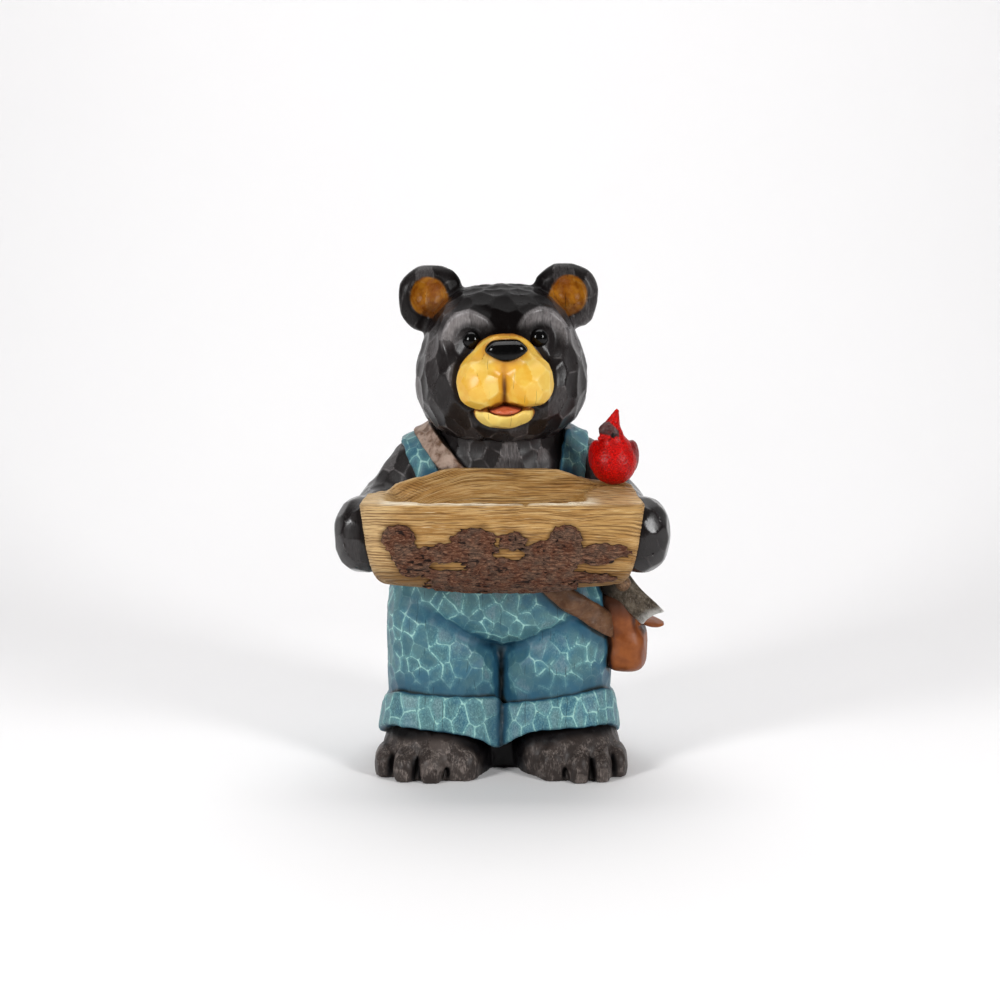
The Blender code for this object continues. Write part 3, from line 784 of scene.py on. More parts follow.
def without_crumbs(points, quads, least=300):
    """Drops every separate body of fewer points than this."""
    label, lower = None, np.arange(len(points))
    while label is None or (lower != label).any():
        label = lower
        lowest = label[quads].min(1)
        lower = label.copy()
        for corner in quads.T:
            np.minimum.at(lower, corner, lowest)
        lower = lower[lower]
    kept = np.bincount(label, minlength=len(points))[label] >= least
    place = np.cumsum(kept) - 1
    return points[kept], place[quads[kept[quads[:, 0]]]]


def point_normals(points, quads):
    across = np.cross(points[quads[:, 2]] - points[quads[:, 0]], points[quads[:, 3]] - points[quads[:, 1]])
    total = np.zeros_like(points)
    for axis, corner in itertools.product(range(3), quads.T):
        total[:, axis] += np.bincount(corner, across[:, axis], len(points))
    return total / (np.linalg.norm(total, axis=1, keepdims=True) + 1e-12)


def in_scene(name, data):
    obj = bpy.data.objects.new(name, data)
    bpy.context.scene.collection.objects.link(obj)
    return obj


def smooth_object(name, points, faces, paint):
    mesh = bpy.data.meshes.new(name)
    mesh.from_pydata(points, [], faces)
    mesh.shade_smooth()
    mesh.materials.append(paint)
    return in_scene(name, mesh)


def new_piece(name, points, quads, paint, slot, node, **attributes):
    """A piece of the statue in place of a casting's solid, with values at its points for its paint."""
    points = np.clip(points, cad_box[0], cad_box[1])
    piece = smooth_object(name, points.tolist(), quads.tolist(), paint)
    for key, values in attributes.items():
        layer = piece.data.attributes.new(key, "FLOAT", "POINT")
        layer.data.foreach_set("value", np.asarray(values, np.float32))
    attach(piece, "root")
    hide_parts(node)


def crease(points, normals, reach):
    """0 on open ground, and up to 1 in a hollow or corner of the statue narrower than the reach. The paints
    darken by it, as painted shade.
    """
    ahead = tuple((points + normals * reach).T)
    return np.clip(1 - join(bear(ahead), log_trough(ahead)) / reach, 0, 1)


def carved(name, field, box, paint, slot, voxel, carving=None, marks=None):
    """A piece of the bear: its field's surface with its chips, and the marks its paint follows."""
    points, quads = surface(field, *box, voxel)
    normals = point_normals(points, quads)
    values = {"ridge": np.full(len(points), NO_RIDGE), "tone": np.full(len(points), 0.5)}
    final = points
    if carving:
        where = carving.get("where", lambda p: 1.0)
        settings = {key: value for key, value in carving.items() if key != "where"}
        snap = SNAP_SHARE * voxel
        final, proud, values["ridge"], values["tone"] = chips(points, normals, snap, **settings)
        on_floor = np.abs(points[:, 2]) < 0.3
        final = final + normals * np.where(on_floor, 0, proud * where(tuple(points.T)))[:, None]
    final[:, 2] = np.maximum(final[:, 2], 0)
    # How deep each point lies in a crease, which the paints darken as painted shade
    values.update(pit=crease(points, normals, PIT_REACH), fold=crease(points, normals, FOLD_REACH))
    if marks:
        values.update(marks(tuple(points.T)))
    new_piece(name, final * U, quads, paint, slot, "bear", **values)


# Paints


class Value:
    """A number that a paint works out at each point. Its products, sums and ramps are further nodes."""

    def __init__(self, paint, socket):
        self.paint, self.socket = paint, socket

    def __mul__(self, other):
        return self.paint.maths("MULTIPLY", self, other)

    def __add__(self, other):
        return self.paint.maths("ADD", self, other)

    def ramp(self, low, high, start=0, end=1):
        """The start value up to low and the end value from high on, with a smooth change between them."""
        node = self.paint.nodes.new("ShaderNodeMapRange")
        node.interpolation_type = "SMOOTHSTEP"
        for socket, value in zip(node.inputs, (self, low, high, start, end)):
            self.paint.feed(socket, value)
        return Value(self.paint, node.outputs["Result"])


class Paint:
    """A material whose colour, roughness and fine bumps follow from where a point is and what it carries."""

    def __init__(self, name, roughness=0.4, coat=0.0, metallic=0.0, specular=0.3):
        self.material = bpy.data.materials.new(name)
        self.material.use_nodes = True
        self.nodes, self.links = self.material.node_tree.nodes, self.material.node_tree.links
        self.shader = self.nodes["Principled BSDF"].inputs
        self.shader["Roughness"].default_value = roughness
        self.shader["Coat Weight"].default_value = coat
        self.shader["Coat Roughness"].default_value = 0.25
        self.shader["Metallic"].default_value = metallic
        self.shader["Specular IOR Level"].default_value = specular
        self.place = self.nodes.new("ShaderNodeTexCoord").outputs["Object"]
        self.colour = self.bumped = None

    def feed(self, socket, value):
        if isinstance(value, Value):
            value = value.socket
        if isinstance(value, bpy.types.NodeSocket):
            self.links.new(value, socket)
        elif isinstance(value, tuple):
            socket.default_value = (*value, 1.0)[: len(socket.default_value)]
        else:
            socket.default_value = value

    def maths(self, operation, a, b=0.0):
        node = self.nodes.new("ShaderNodeMath")
        node.operation = operation
        self.feed(node.inputs[0], a)
        self.feed(node.inputs[1], b)
        return Value(self, node.outputs[0])

    def marks(self, *names):
        """The values of these names that the piece's points carry, or 0 where they carry none."""
        found = []
        for name in names:
            node = self.nodes.new("ShaderNodeAttribute")
            node.attribute_name = name
            found.append(Value(self, node.outputs["Fac"]))
        return found

    def split(self, vector, axis):
        node = self.nodes.new("ShaderNodeSeparateXYZ")
        self.links.new(vector, node.inputs[0])
        return Value(self, node.outputs[axis])

    def along(self, axis):
        """Where a point lies along this axis, in metres."""
        return self.split(self.place, axis)

    def facing_side(self):
        """0 where the surface looks to the front, back, up or down, and 1 where it looks to a side."""
        normal = self.nodes.new("ShaderNodeNewGeometry").outputs["Normal"]
        return self.maths("ABSOLUTE", self.split(normal, "X"))

    def noise_at(self, place, detail, roughness, distortion=0.0):
        node = self.nodes.new("ShaderNodeTexNoise")
        self.links.new(place, node.inputs["Vector"])
        settings = {"Scale": 1.0, "Detail": detail, "Roughness": roughness, "Distortion": distortion}
        for key, value in settings.items():
            node.inputs[key].default_value = value
        return Value(self, node.outputs["Fac"])

    def noise(self, size, detail=2.0, roughness=0.55, distortion=0.0):
        """Noise in grains of this size, or of these sizes along X, Y and Z, in millimetres."""
        node = self.nodes.new("ShaderNodeVectorMath")
        node.operation = "MULTIPLY"
        self.links.new(self.place, node.inputs[0])
        size = size if isinstance(size, tuple) else (size,) * 3
        node.inputs[1].default_value = tuple(1000 / s for s in size)
        return self.noise_at(node.outputs[0], detail, roughness, distortion)

    def grain(self, length, width, detail=2.0, roughness=0.6):
        """Noise in streaks of this length along X, which follow the wood's own lines across it."""
        node = self.nodes.new("ShaderNodeCombineXYZ")
        (line,) = self.marks("line")
        self.feed(node.inputs["X"], self.along("X") * (1000 / length))
        self.feed(node.inputs["Y"], line * (1 / width))
        return self.noise_at(node.outputs[0], detail, roughness)

    def mix(self, share, a, b):
        node = self.nodes.new("ShaderNodeMix")
        node.data_type = "RGBA"
        node.clamp_factor = True
        for socket, value in zip((node.inputs[0], node.inputs[6], node.inputs[7]), (share, a, b)):
            self.feed(socket, value)
        return node.outputs[2]

    def ground(self, share, a, b):
        """Starts the paint's colour: the first at a share of 0, the second at 1."""
        self.colour = self.mix(share, a, b)

    def over(self, share, colour):
        """Lays this colour over the paint so far, as thickly as the share says."""
        self.colour = self.mix(share, self.colour, colour)

    def bump(self, height, depth, strength):
        """Raises the surface by this height, in metres, where the value is 1."""
        node = self.nodes.new("ShaderNodeBump")
        node.inputs["Strength"].default_value = strength
        node.inputs["Distance"].default_value = depth
        self.feed(node.inputs["Height"], height)
        if self.bumped:
            self.links.new(self.bumped, node.inputs["Normal"])
        self.bumped = node.outputs["Normal"]

    def cracks(self, spacing=0.0083, width=0.035):
        """1 on thin upright cracks, each a centimetre or two long."""
        place = self.along("X") * (1 / spacing) + self.noise(26.0, detail=1.0) * 0.9
        away = self.maths("ABSOLUTE", self.maths("SUBTRACT", self.maths("FRACT", place), 0.5))
        here = self.noise((3.7, 30.0, 17.0), detail=0.0).ramp(0.60, 0.66)
        return away.ramp(width, width * 0.4) * here * self.facing_side().ramp(0.65, 0.45)

    def done(self, roughness=None):
        self.links.new(self.colour, self.shader["Base Color"])
        if roughness is not None:
            self.feed(self.shader["Roughness"], roughness)
        if self.bumped:
            self.links.new(self.bumped, self.shader["Normal"])
        return self.material


def fur_paint():
    paint = Paint("fur_paint", specular=0.25)
    ridge, tone, crown, paw = paint.marks("ridge", "tone", "crown", "paw")
    fold, pit, brow, cup, cup_low, matt = paint.marks("fold", "pit", "brow", "cup", "cup_low", "matt")
    strokes = paint.noise((1.2, 1.2, 9.0), detail=4.0, roughness=0.65)
    cloud = paint.noise(14.0, detail=3.0)
    brushed = ridge.ramp(1.6, 0) * cloud.ramp(0.46, 0.66) * 0.5
    faces = tone.ramp(0.45, 1) * strokes.ramp(0.3, 0.7, 0.35, 1) * 0.7
    # Less dry-brushed grey in creases: painted shade
    grey = (brushed + faces + strokes.ramp(0.5, 0.85, 0, 0.2)) * fold.ramp(0.7, 0.2, 0.05, 1)
    grey = grey * crown.ramp(0, 1, 1, 0.07) * paw.ramp(0, 1, 1, 0.25)
    black = paint.mix(crown, (0.011, 0.0085, 0.0085), (0.0035, 0.0026, 0.0026))
    paint.ground(grey, black, (0.190, 0.175, 0.175))
    brow = brow * strokes.ramp(0.25, 0.7, 0.45, 1) * cloud.ramp(0.3, 0.62, 0.5, 1) * tone.ramp(0, 1, 0.6, 1)
    paint.over(brow, (0.27, 0.25, 0.25))
    brown = paint.mix(cloud.ramp(0.35, 0.65), (0.31, 0.087, 0.003), (0.58, 0.225, 0.014))
    brown = paint.mix(ridge.ramp(1.2, 0) * cloud.ramp(0.45, 0.6) * 0.4, brown, (0.62, 0.34, 0.09))
    # The ear cups darker in their hollows: painted shade
    brown = paint.mix(pit.ramp(0.3, 0.95), brown, (0.07, 0.025, 0.008))
    paint.over(cup, brown)
    paint.over(cup_low * 0.5, (0.045, 0.017, 0.008))
    paint.over(paint.cracks(), (0.004, 0.0035, 0.0035))
    paint.feed(paint.shader["Specular IOR Level"], crown.ramp(0, 0.8, 0.25, 0.04))
    paint.feed(paint.shader["Coat Weight"], crown.ramp(0.6, 0) * paw.ramp(0, 1, 0.08, 0.3))
    paint.bump(strokes, 0.00022, 0.6)
    paint.bump(paint.noise(7.0) * cup, 0.0026, 0.8)
    return paint.done(cloud.ramp(0.3, 0.7, 0.26, 0.38) * paw.ramp(0, 1, 1, 0.6) + matt * 0.14)


def feet_paint():
    paint = Paint("feet_paint", specular=0.2)
    ridge, tone, fold, web_shade = paint.marks("ridge", "tone", "fold", "web")
    strokes = paint.noise((1.6, 1.6, 7.0), detail=4.0, roughness=0.65)
    cloud = paint.noise(9.0, detail=3.0)
    grey = ridge.ramp(1.8, 0) * cloud.ramp(0.45, 0.68, 0, 0.35)
    grey = grey + strokes.ramp(0.42, 0.75, 0, 0.9) * cloud.ramp(0.38, 0.58) + tone.ramp(0.6, 1) * 0.25
    # Less grey in creases, and near black deep in them: painted shade
    paint.ground(grey * fold.ramp(0.6, 0.15), (0.034, 0.026, 0.023), (0.23, 0.19, 0.17))
    paint.over(fold.ramp(0.35, 0.8, 0, 0.9), (0.003, 0.0025, 0.003))
    # Near black on the web set back between the feet: painted shade in the recess
    paint.over(web_shade, (0.002, 0.0015, 0.002))
    paint.bump(strokes, 0.0004, 0.7)
    return paint.done(cloud.ramp(0.3, 0.7, 0.36, 0.5))


def muzzle_paint():
    paint = Paint("muzzle_paint", coat=0.1, specular=0.35)
    ridge, tone, pit, rim_shade = paint.marks("ridge", "tone", "pit", "rim_shade")
    shade, slit, lip = paint.marks("shade", "slit", "chin")
    cloud = paint.noise(13.0, detail=3.0)
    paint.ground(cloud.ramp(0.38, 0.66), (0.76, 0.40, 0.034), (0.80, 0.50, 0.070))
    paint.over(tone.ramp(0.55, 1, 0, 0.45), (0.88, 0.66, 0.17))
    paint.over(ridge.ramp(2.2, 0) * cloud.ramp(0.46, 0.64) * 0.25, (0.92, 0.78, 0.36))
    # Painted shade along the muzzle's edge, where it meets the head
    paint.over(rim_shade.ramp(0.30, 1, 0, 0.9), (0.42, 0.15, 0.012))
    paint.over(shade * 0.7, (0.50, 0.20, 0.018))
    paint.over(slit * 0.85, (0.09, 0.025, 0.004))
    # The chin painted lighter: painted light on its downward face
    paint.over(lip * 0.55, (0.98, 0.80, 0.24))
    # Darker in hollows: painted shade
    paint.over(pit.ramp(0.25, 0.95), (0.22, 0.07, 0.008))
    paint.over(paint.cracks(0.0112, 0.02) * 0.8, (0.10, 0.045, 0.01))
    paint.bump(paint.noise(3.0, detail=3.0), 0.0002, 0.5)
    return paint.done(cloud.ramp(0.3, 0.7, 0.32, 0.42))


def gloss_black():
    paint = Paint("gloss_black", roughness=0.12, specular=0.22)
    smear = paint.noise(5.0)
    paint.ground(smear, (0.001, 0.001, 0.001), (0.003, 0.0027, 0.0027))
    paint.bump(smear, 0.0002, 0.3)
    return paint.done(smear.ramp(0.3, 0.7, 0.08, 0.16))


def tongue_paint():
    paint = Paint("tongue_paint", roughness=0.35, coat=0.1)
    cloud = paint.noise(5.0)
    (pit,) = paint.marks("pit")
    paint.ground(cloud.ramp(0.3, 0.7), (0.50, 0.095, 0.035), (0.60, 0.15, 0.07))
    # Darker down in the mouth: painted shade
    paint.over(pit.ramp(0.5, 1), (0.25, 0.04, 0.02))
    paint.bump(cloud, 0.0002, 0.4)
    return paint.done()


def overalls_paint():
    paint = Paint("overalls_paint", coat=0.05, specular=0.3)
    ridge, tone, fold, pit = paint.marks("ridge", "tone", "fold", "pit")
    lap_shade, bright, inseam_shade = paint.marks("lap_shade", "bright", "inseam_shade")
    scratches = paint.noise((1.7, 1.7, 2.4), detail=5.0, roughness=0.78, distortion=0.5)
    strokes = paint.noise((1.2, 1.2, 13.0), detail=3.0)
    patches = paint.noise(9.0, detail=3.0)
    cloud = paint.noise(30.0)
    bare = paint.maths("MAXIMUM", paint.noise(23.0).ramp(0.40, 0.55), bright)
    paint.ground(tone, (0.036, 0.118, 0.158), (0.076, 0.185, 0.205))
    paint.over(cloud.ramp(0.38, 0.66, 0, 0.6), (0.030, 0.128, 0.212))
    paint.over(patches.ramp(0.40, 0.70, 0, 0.5), (0.090, 0.190, 0.190))
    # Some chips are pale, and every chip is brushed dry in places
    pale = tone.ramp(0.80, 0.93) * ridge.ramp(0.5, 4) * scratches.ramp(0.35, 0.6)
    paint.over(pale * 0.5 * bare, (0.24, 0.31, 0.34))
    dry = scratches.ramp(0.50, 0.70) * patches.ramp(0.38, 0.62, 0.12, 0.55)
    # More dry brushing all over the cuffs, and on the knees as a painted highlight
    dry = dry + bright * scratches.ramp(0.42, 0.62) * 0.4
    paint.over(dry * bare.ramp(0, 1, 0.45, 1), (0.22, 0.43, 0.43))
    paint.over(strokes.ramp(0.56, 0.80, 0, 0.5), (0.020, 0.075, 0.110))
    # The pale lines on the ridges, each with a halo
    halo = ridge.ramp(5, 0.3) * scratches.ramp(0.35, 0.60, 0.2, 1) * bare * 0.5
    paint.over(halo, (0.17, 0.41, 0.42))
    width = ridge + paint.noise(6.0, detail=3.0) * 2.2
    line = width.ramp(2, 1) * bare.ramp(0, 1, 0.18, 0.9) * fold.ramp(0.60, 0.25)
    paint.over(line * scratches.ramp(0.30, 0.50, 0.5, 1) * lap_shade.ramp(0.8, 0.2), (0.36, 0.62, 0.57))
    # Painted shade: in creases, under the belly's edge, down the lower legs, along and beside the inseam, and
    # in hollows
    paint.over(fold.ramp(0.14, 0.60, 0, 0.88), (0.013, 0.070, 0.125))
    paint.over(lap_shade * 0.8, (0.013, 0.075, 0.135))
    paint.over(inseam_shade * 0.92, (0.006, 0.020, 0.030))
    paint.over(pit.ramp(0.35, 0.95) * 0.85, (0.020, 0.022, 0.015))
    paint.over(paint.cracks() * 0.85, (0.008, 0.020, 0.025))
    paint.bump(scratches, 0.0003, 0.6)
    return paint.done(scratches.ramp(0.3, 0.7, 0.36, 0.50))


def strap_paint():
    paint = Paint("strap_paint", specular=0.25)
    ridge, fold = paint.marks("ridge", "fold")
    cloud = paint.noise(9.0, detail=4.0)
    strokes = paint.noise((5.0, 5.0, 2.0), detail=3.0)
    top = paint.mix(cloud.ramp(0.32, 0.66), (0.140, 0.074, 0.044), (0.42, 0.305, 0.245))
    low = paint.mix(cloud.ramp(0.3, 0.7), (0.080, 0.034, 0.014), (0.155, 0.075, 0.036))
    paint.ground(paint.along("Z").ramp(0.27, 0.21), top, low)
    paint.over(ridge.ramp(1.8, 0) * paint.along("Z").ramp(0.21, 0.27) * 0.35, (0.46, 0.36, 0.29))
    paint.over(strokes.ramp(0.5, 0.8, 0, 0.3), (0.27, 0.19, 0.145))
    # Near black in creases: painted shade
    paint.over(fold.ramp(0.45, 0.9), (0.03, 0.016, 0.010))
    paint.bump(cloud, 0.0004, 0.5)
    return paint.done(cloud.ramp(0.3, 0.7, 0.42, 0.55))


def satchel_paint():
    paint = Paint("satchel_paint", coat=0.04, specular=0.25)
    (fold,) = paint.marks("fold")
    cloud = paint.noise(14.0, detail=3.0)
    paint.ground(cloud.ramp(0.3, 0.7), (0.17, 0.042, 0.008), (0.26, 0.075, 0.017))
    # Near black over the satchel's upper part: painted shade under the strap and hatchet, and in creases
    paint.over(paint.along("Z").ramp(0.154, 0.176) * 0.92, (0.040, 0.015, 0.008))
    paint.over(fold.ramp(0.55, 1, 0, 0.8), (0.025, 0.010, 0.006))
    paint.bump(paint.noise(3.0, detail=3.0), 0.00025, 0.5)
    return paint.done(cloud.ramp(0.3, 0.7, 0.36, 0.48))


def steel_paint():
    paint = Paint("steel_paint", metallic=0.35)
    edge, back = paint.marks("edge", "back")
    cloud = paint.noise(8.0, detail=5.0, roughness=0.75)
    paint.ground(cloud.ramp(0.38, 0.68), (0.055, 0.041, 0.028), (0.21, 0.17, 0.125))
    scratches = paint.noise((1.3, 2.0, 7.0), detail=3.0)
    paint.over(scratches.ramp(0.55, 0.70, 0, 0.5), (0.36, 0.31, 0.25))
    paint.over(back * 0.9, (0.020, 0.015, 0.011))
    paint.over(edge * cloud.ramp(0.3, 0.65, 0.35, 1), (0.62, 0.61, 0.58))
    paint.bump(cloud, 0.0004, 0.5)
    return paint.done(cloud.ramp(0.3, 0.7, 0.32, 0.48))


def handle_paint():
    paint = Paint("handle_paint")
    rings = paint.noise((2.0, 2.0, 2.5), detail=3.0)
    paint.ground(rings.ramp(0.3, 0.7), (0.085, 0.042, 0.020), (0.26, 0.15, 0.08))
    paint.bump(rings, 0.0005, 0.6)
    return paint.done(rings.ramp(0.3, 0.7, 0.45, 0.6))


def wood_paint():
    paint = Paint("wood_paint", specular=0.25)
    groove, low, halo, edge, fold = paint.marks("groove", "low", "halo", "edge", "fold")
    fine = paint.grain(24.0, 0.7, detail=4.0, roughness=0.72)
    lines = paint.grain(40.0, 1.3)
    broad = paint.noise((60.0, 14.0, 9.0), detail=3.0)
    paint.ground(broad.ramp(0.32, 0.68), (0.36, 0.180, 0.044), (0.49, 0.285, 0.094))
    paint.over(paint.grain(60.0, 4.0).ramp(0.50, 0.64, 0, 0.45), (0.64, 0.43, 0.19))
    paint.over(paint.along("X").ramp(-0.085, -0.125, 0, 0.35), (0.78, 0.60, 0.34))
    paint.over(fine.ramp(0.51, 0.61, 0, 0.68), (0.15, 0.066, 0.016))
    paint.over(lines.ramp(0.59, 0.66, 0, 0.7), (0.095, 0.040, 0.010))
    paint.over(groove.ramp(0.15, 0.9, 0, 0.65), (0.085, 0.034, 0.009))
    paint.over(groove.ramp(0.2, 0) * fine.ramp(0.45, 0.38) * 0.5, (0.76, 0.58, 0.30))
    paint.over(lines.ramp(0.35, 0.29, 0, 0.5), (0.88, 0.74, 0.48))
    paint.over(low * 0.6, (0.100, 0.044, 0.011))
    # Darker wood round the bark: painted shade beside its raised edge
    paint.over(halo * 0.42, (0.13, 0.055, 0.014))
    paint.over(edge * fine.ramp(0.62, 0.40, 0.25, 1), (0.88, 0.79, 0.61))
    # Darker in creases: painted shade
    paint.over(fold.ramp(0.55, 1, 0, 0.6), (0.060, 0.026, 0.008))
    paint.bump(fine, 0.0006, 0.9)
    return paint.done(fine.ramp(0.3, 0.7, 0.42, 0.58))


def bark_paint():
    paint = Paint("bark_paint", specular=0.2)
    (groove,) = paint.marks("groove")
    fibre = paint.noise((5.5, 1.5, 1.5), detail=5.0, roughness=0.75, distortion=0.8)
    broad = paint.noise(12.0, detail=3.0)
    paint.ground(broad.ramp(0.35, 0.65), (0.090, 0.029, 0.013), (0.084, 0.048, 0.032))
    paint.over(fibre.ramp(0.52, 0.66, 0, 0.9), (0.28, 0.130, 0.075))
    paint.over(fibre.ramp(0.47, 0.35, 0, 0.95), (0.010, 0.003, 0.002))
    paint.over(groove.ramp(0.25, 0) * fibre.ramp(0.45, 0.64) * 0.45, (0.28, 0.150, 0.088))
    # Near black down in the bark's cracks: painted shade
    paint.over(groove.ramp(0.30, 0.95, 0, 0.95), (0.010, 0.004, 0.0025))
    paint.bump(fibre, 0.0014, 1.0)
    return paint.done(fibre.ramp(0.3, 0.7, 0.72, 0.55))


def cardinal_paint():
    paint = Paint("cardinal_paint", coat=0.05, specular=0.15)
    wing, mask, eye, groove = paint.marks("wing", "mask", "eye", "groove")
    dots = paint.noise(1.3, detail=3.0, roughness=0.6)
    cloud = paint.noise(9.0)
    paint.ground(dots.ramp(0.38, 0.62), (0.28, 0.0014, 0.0008), (0.64, 0.003, 0.0015))
    paint.over(cloud.ramp(0.45, 0.7, 0, 0.5), (0.30, 0.005, 0.004))
    paint.over(wing * 0.75, (0.10, 0.004, 0.005))
    dark = paint.mix(cloud.ramp(0.35, 0.65), (0.008, 0.005, 0.005), (0.070, 0.052, 0.050))
    paint.over(mask * 0.93, dark)
    paint.over(eye, (0.006, 0.004, 0.004))
    paint.over(groove.ramp(0.2, 1, 0, 0.7), (0.10, 0.003, 0.003))
    paint.bump(dots, 0.0004, 0.8)
    return paint.done(dots.ramp(0.3, 0.7, 0.30, 0.45))


# The bear's pieces

EMBED = 1.5


def beside_log(shape, p):
    """A shape that reaches only a little way into the log it holds."""
    return cut(shape, log_outside(p) + EMBED, 1)


def fur_head_marks(p):
    q = head_frame(p)
    reach = eye_reach(q)
    front = ease(-q[1], 20, 40)
    brow = ease(reach, 0.48, 0.80) * ease(-reach, -1.12, -1.03) * brow_share(q) * front
    ear = ear_frame(q)
    lower = ease(-0.8 * ear[2] - 0.6 * ear[0] - 3, -6, 14)
    cup = ease(-ear_cup(q), -1.0, 0.6)
    crown = ease(q[2] - 0.25 * np.abs(q[0]), 16, 44) * (1 - 0.55 * ear_share(q)) * (1 - brow)
    return dict(brow=brow, cup=cup * (1 - 0.85 * lower), cup_low=cup * lower, crown=crown)


def ear_share(q):
    return ease(q[2], 46, 60) * ease(np.abs(q[0]), 40, 52)


def head_carving_share(p):
    q = head_frame(p)
    hollow = ease(-eye_reach(q), -1.15, -0.75) * ease(-q[1], 20, 40)
    cup = ease(-ear_cup(q), -2.5, -0.5)
    return 1 - np.maximum(0.7 * hollow, 0.2 * cup) - 0.5 * ear_share(q) * (1 - cup)


def fur_body(p):
    above = common(torso(p), 222 - p[2])
    return beside_log(join(above, join(arms(p), paws(p), 6), 5), p)


def fur_body_marks(p):
    """The paws are glossy and nearly black, the chest and arms matt."""
    paw = ease(np.abs(p[0] - LOG_MIDDLE_X / 2), 116, 136) * ease(-p[2], -306, -290)
    return dict(paw=paw, matt=1 - paw)


def snout_marks(p):
    q = head_frame(p)
    face = skull(q) + eye_hollows(q)
    under_nose = bell(np.maximum(nose(q), 0), 4)
    down = ease(-q[2], -26, -20) * ease(-q[1], 80, 90)
    side = q[0] - LIP_MIDDLE
    cleft = bell(side, 4) * down * ease(q[2], -32, -24)
    slit = bell(side, 1.0 + 0.06 * np.maximum(12 - q[2], 0)) * down * ease(-q[2], -12, 4)
    slit = slit * ease(q[2], -30, -25)
    lower = ease(-q[2], 27, 30)
    # rim: painted shade along the muzzle's edge next to the head, narrower lower down
    rim_shade = bell(np.maximum(face, 0), 6 - 3 * lower)
    # chin: the lower chin is painted lighter, as painted light on its downward face, except at its edge
    return dict(rim_shade=rim_shade, shade=np.maximum(under_nose, cleft), slit=slit, chin=lower * (1 - rim_shade))


def shoes(p):
    return common(join(feet(p), web(p), 4), -p[2])


def shoe_marks(p):
    # web: where painted shade goes on the recess between the feet
    return {"web": ease(-np.abs(p[0] - 3), -30, -18) * ease(-p[2], -52, -40)}


def trouser_marks(p):
    """Where the laps, the inseam and the knees are: painted shade under the belly's edge, down the lower legs
    and by the inseam, and a painted highlight on the knees.
    """
    away, share = lap_line(p)
    front = ease(-p[1], 0, 25)
    lap_shade = bell(np.where(away > 0, away / 5, away / 13)) * ease(-share, -1.3, -0.8) * front
    low = ease(-p[2], -114, -98) * 0.55
    beside = bell(p[0] - INSEAM_X, 10) * ease(-p[2], -134, -118) * front
    inseam_shade = bell(p[0] - INSEAM_X, 3.6) * ease(-p[2], -132, -118) * front
    # The knees get more dry brushing, which is also a painted highlight on their bulge
    knee = np.exp(-(((np.abs(p[0]) - 52) / 17) ** 2) - ((p[2] - 143) / 15) ** 2) * front
    return dict(lap_shade=np.maximum(np.maximum(lap_shade, low), beside), inseam_shade=inseam_shade, bright=knee)


def cuff_marks(p):
    # Painted shade along and beside the inseam, and more dry brushing all over the cuffs
    inseam_shade = bell(p[0] - INSEAM_X, 3.4) * ease(-p[1], 0, 25)
    beside = 0.7 * bell(p[0] - INSEAM_X, 12) * ease(-p[1], 0, 25)
    return dict(lap_shade=beside, inseam_shade=inseam_shade, bright=0.8 + np.zeros_like(p[0]))


def trousers(p):
    return beside_log(overalls(p, clothed(p)), p)


def strap(p):
    body = clothed(p)
    return beside_log(common(satchel_strap(p, body), -body - 6), p)


def hatchet_marks(p):
    x, _, z = hatchet_frame(p)
    bow = HATCHET_EDGE + 0.012 * z * z + 0.25 * z - 1
    return dict(edge=ease(x - bow, -11, -1), back=ease(-x, -12, 12))


def in_head(field):
    """The field of a shape that is drawn about the head's own middle."""
    return lambda p: field(head_frame(p))


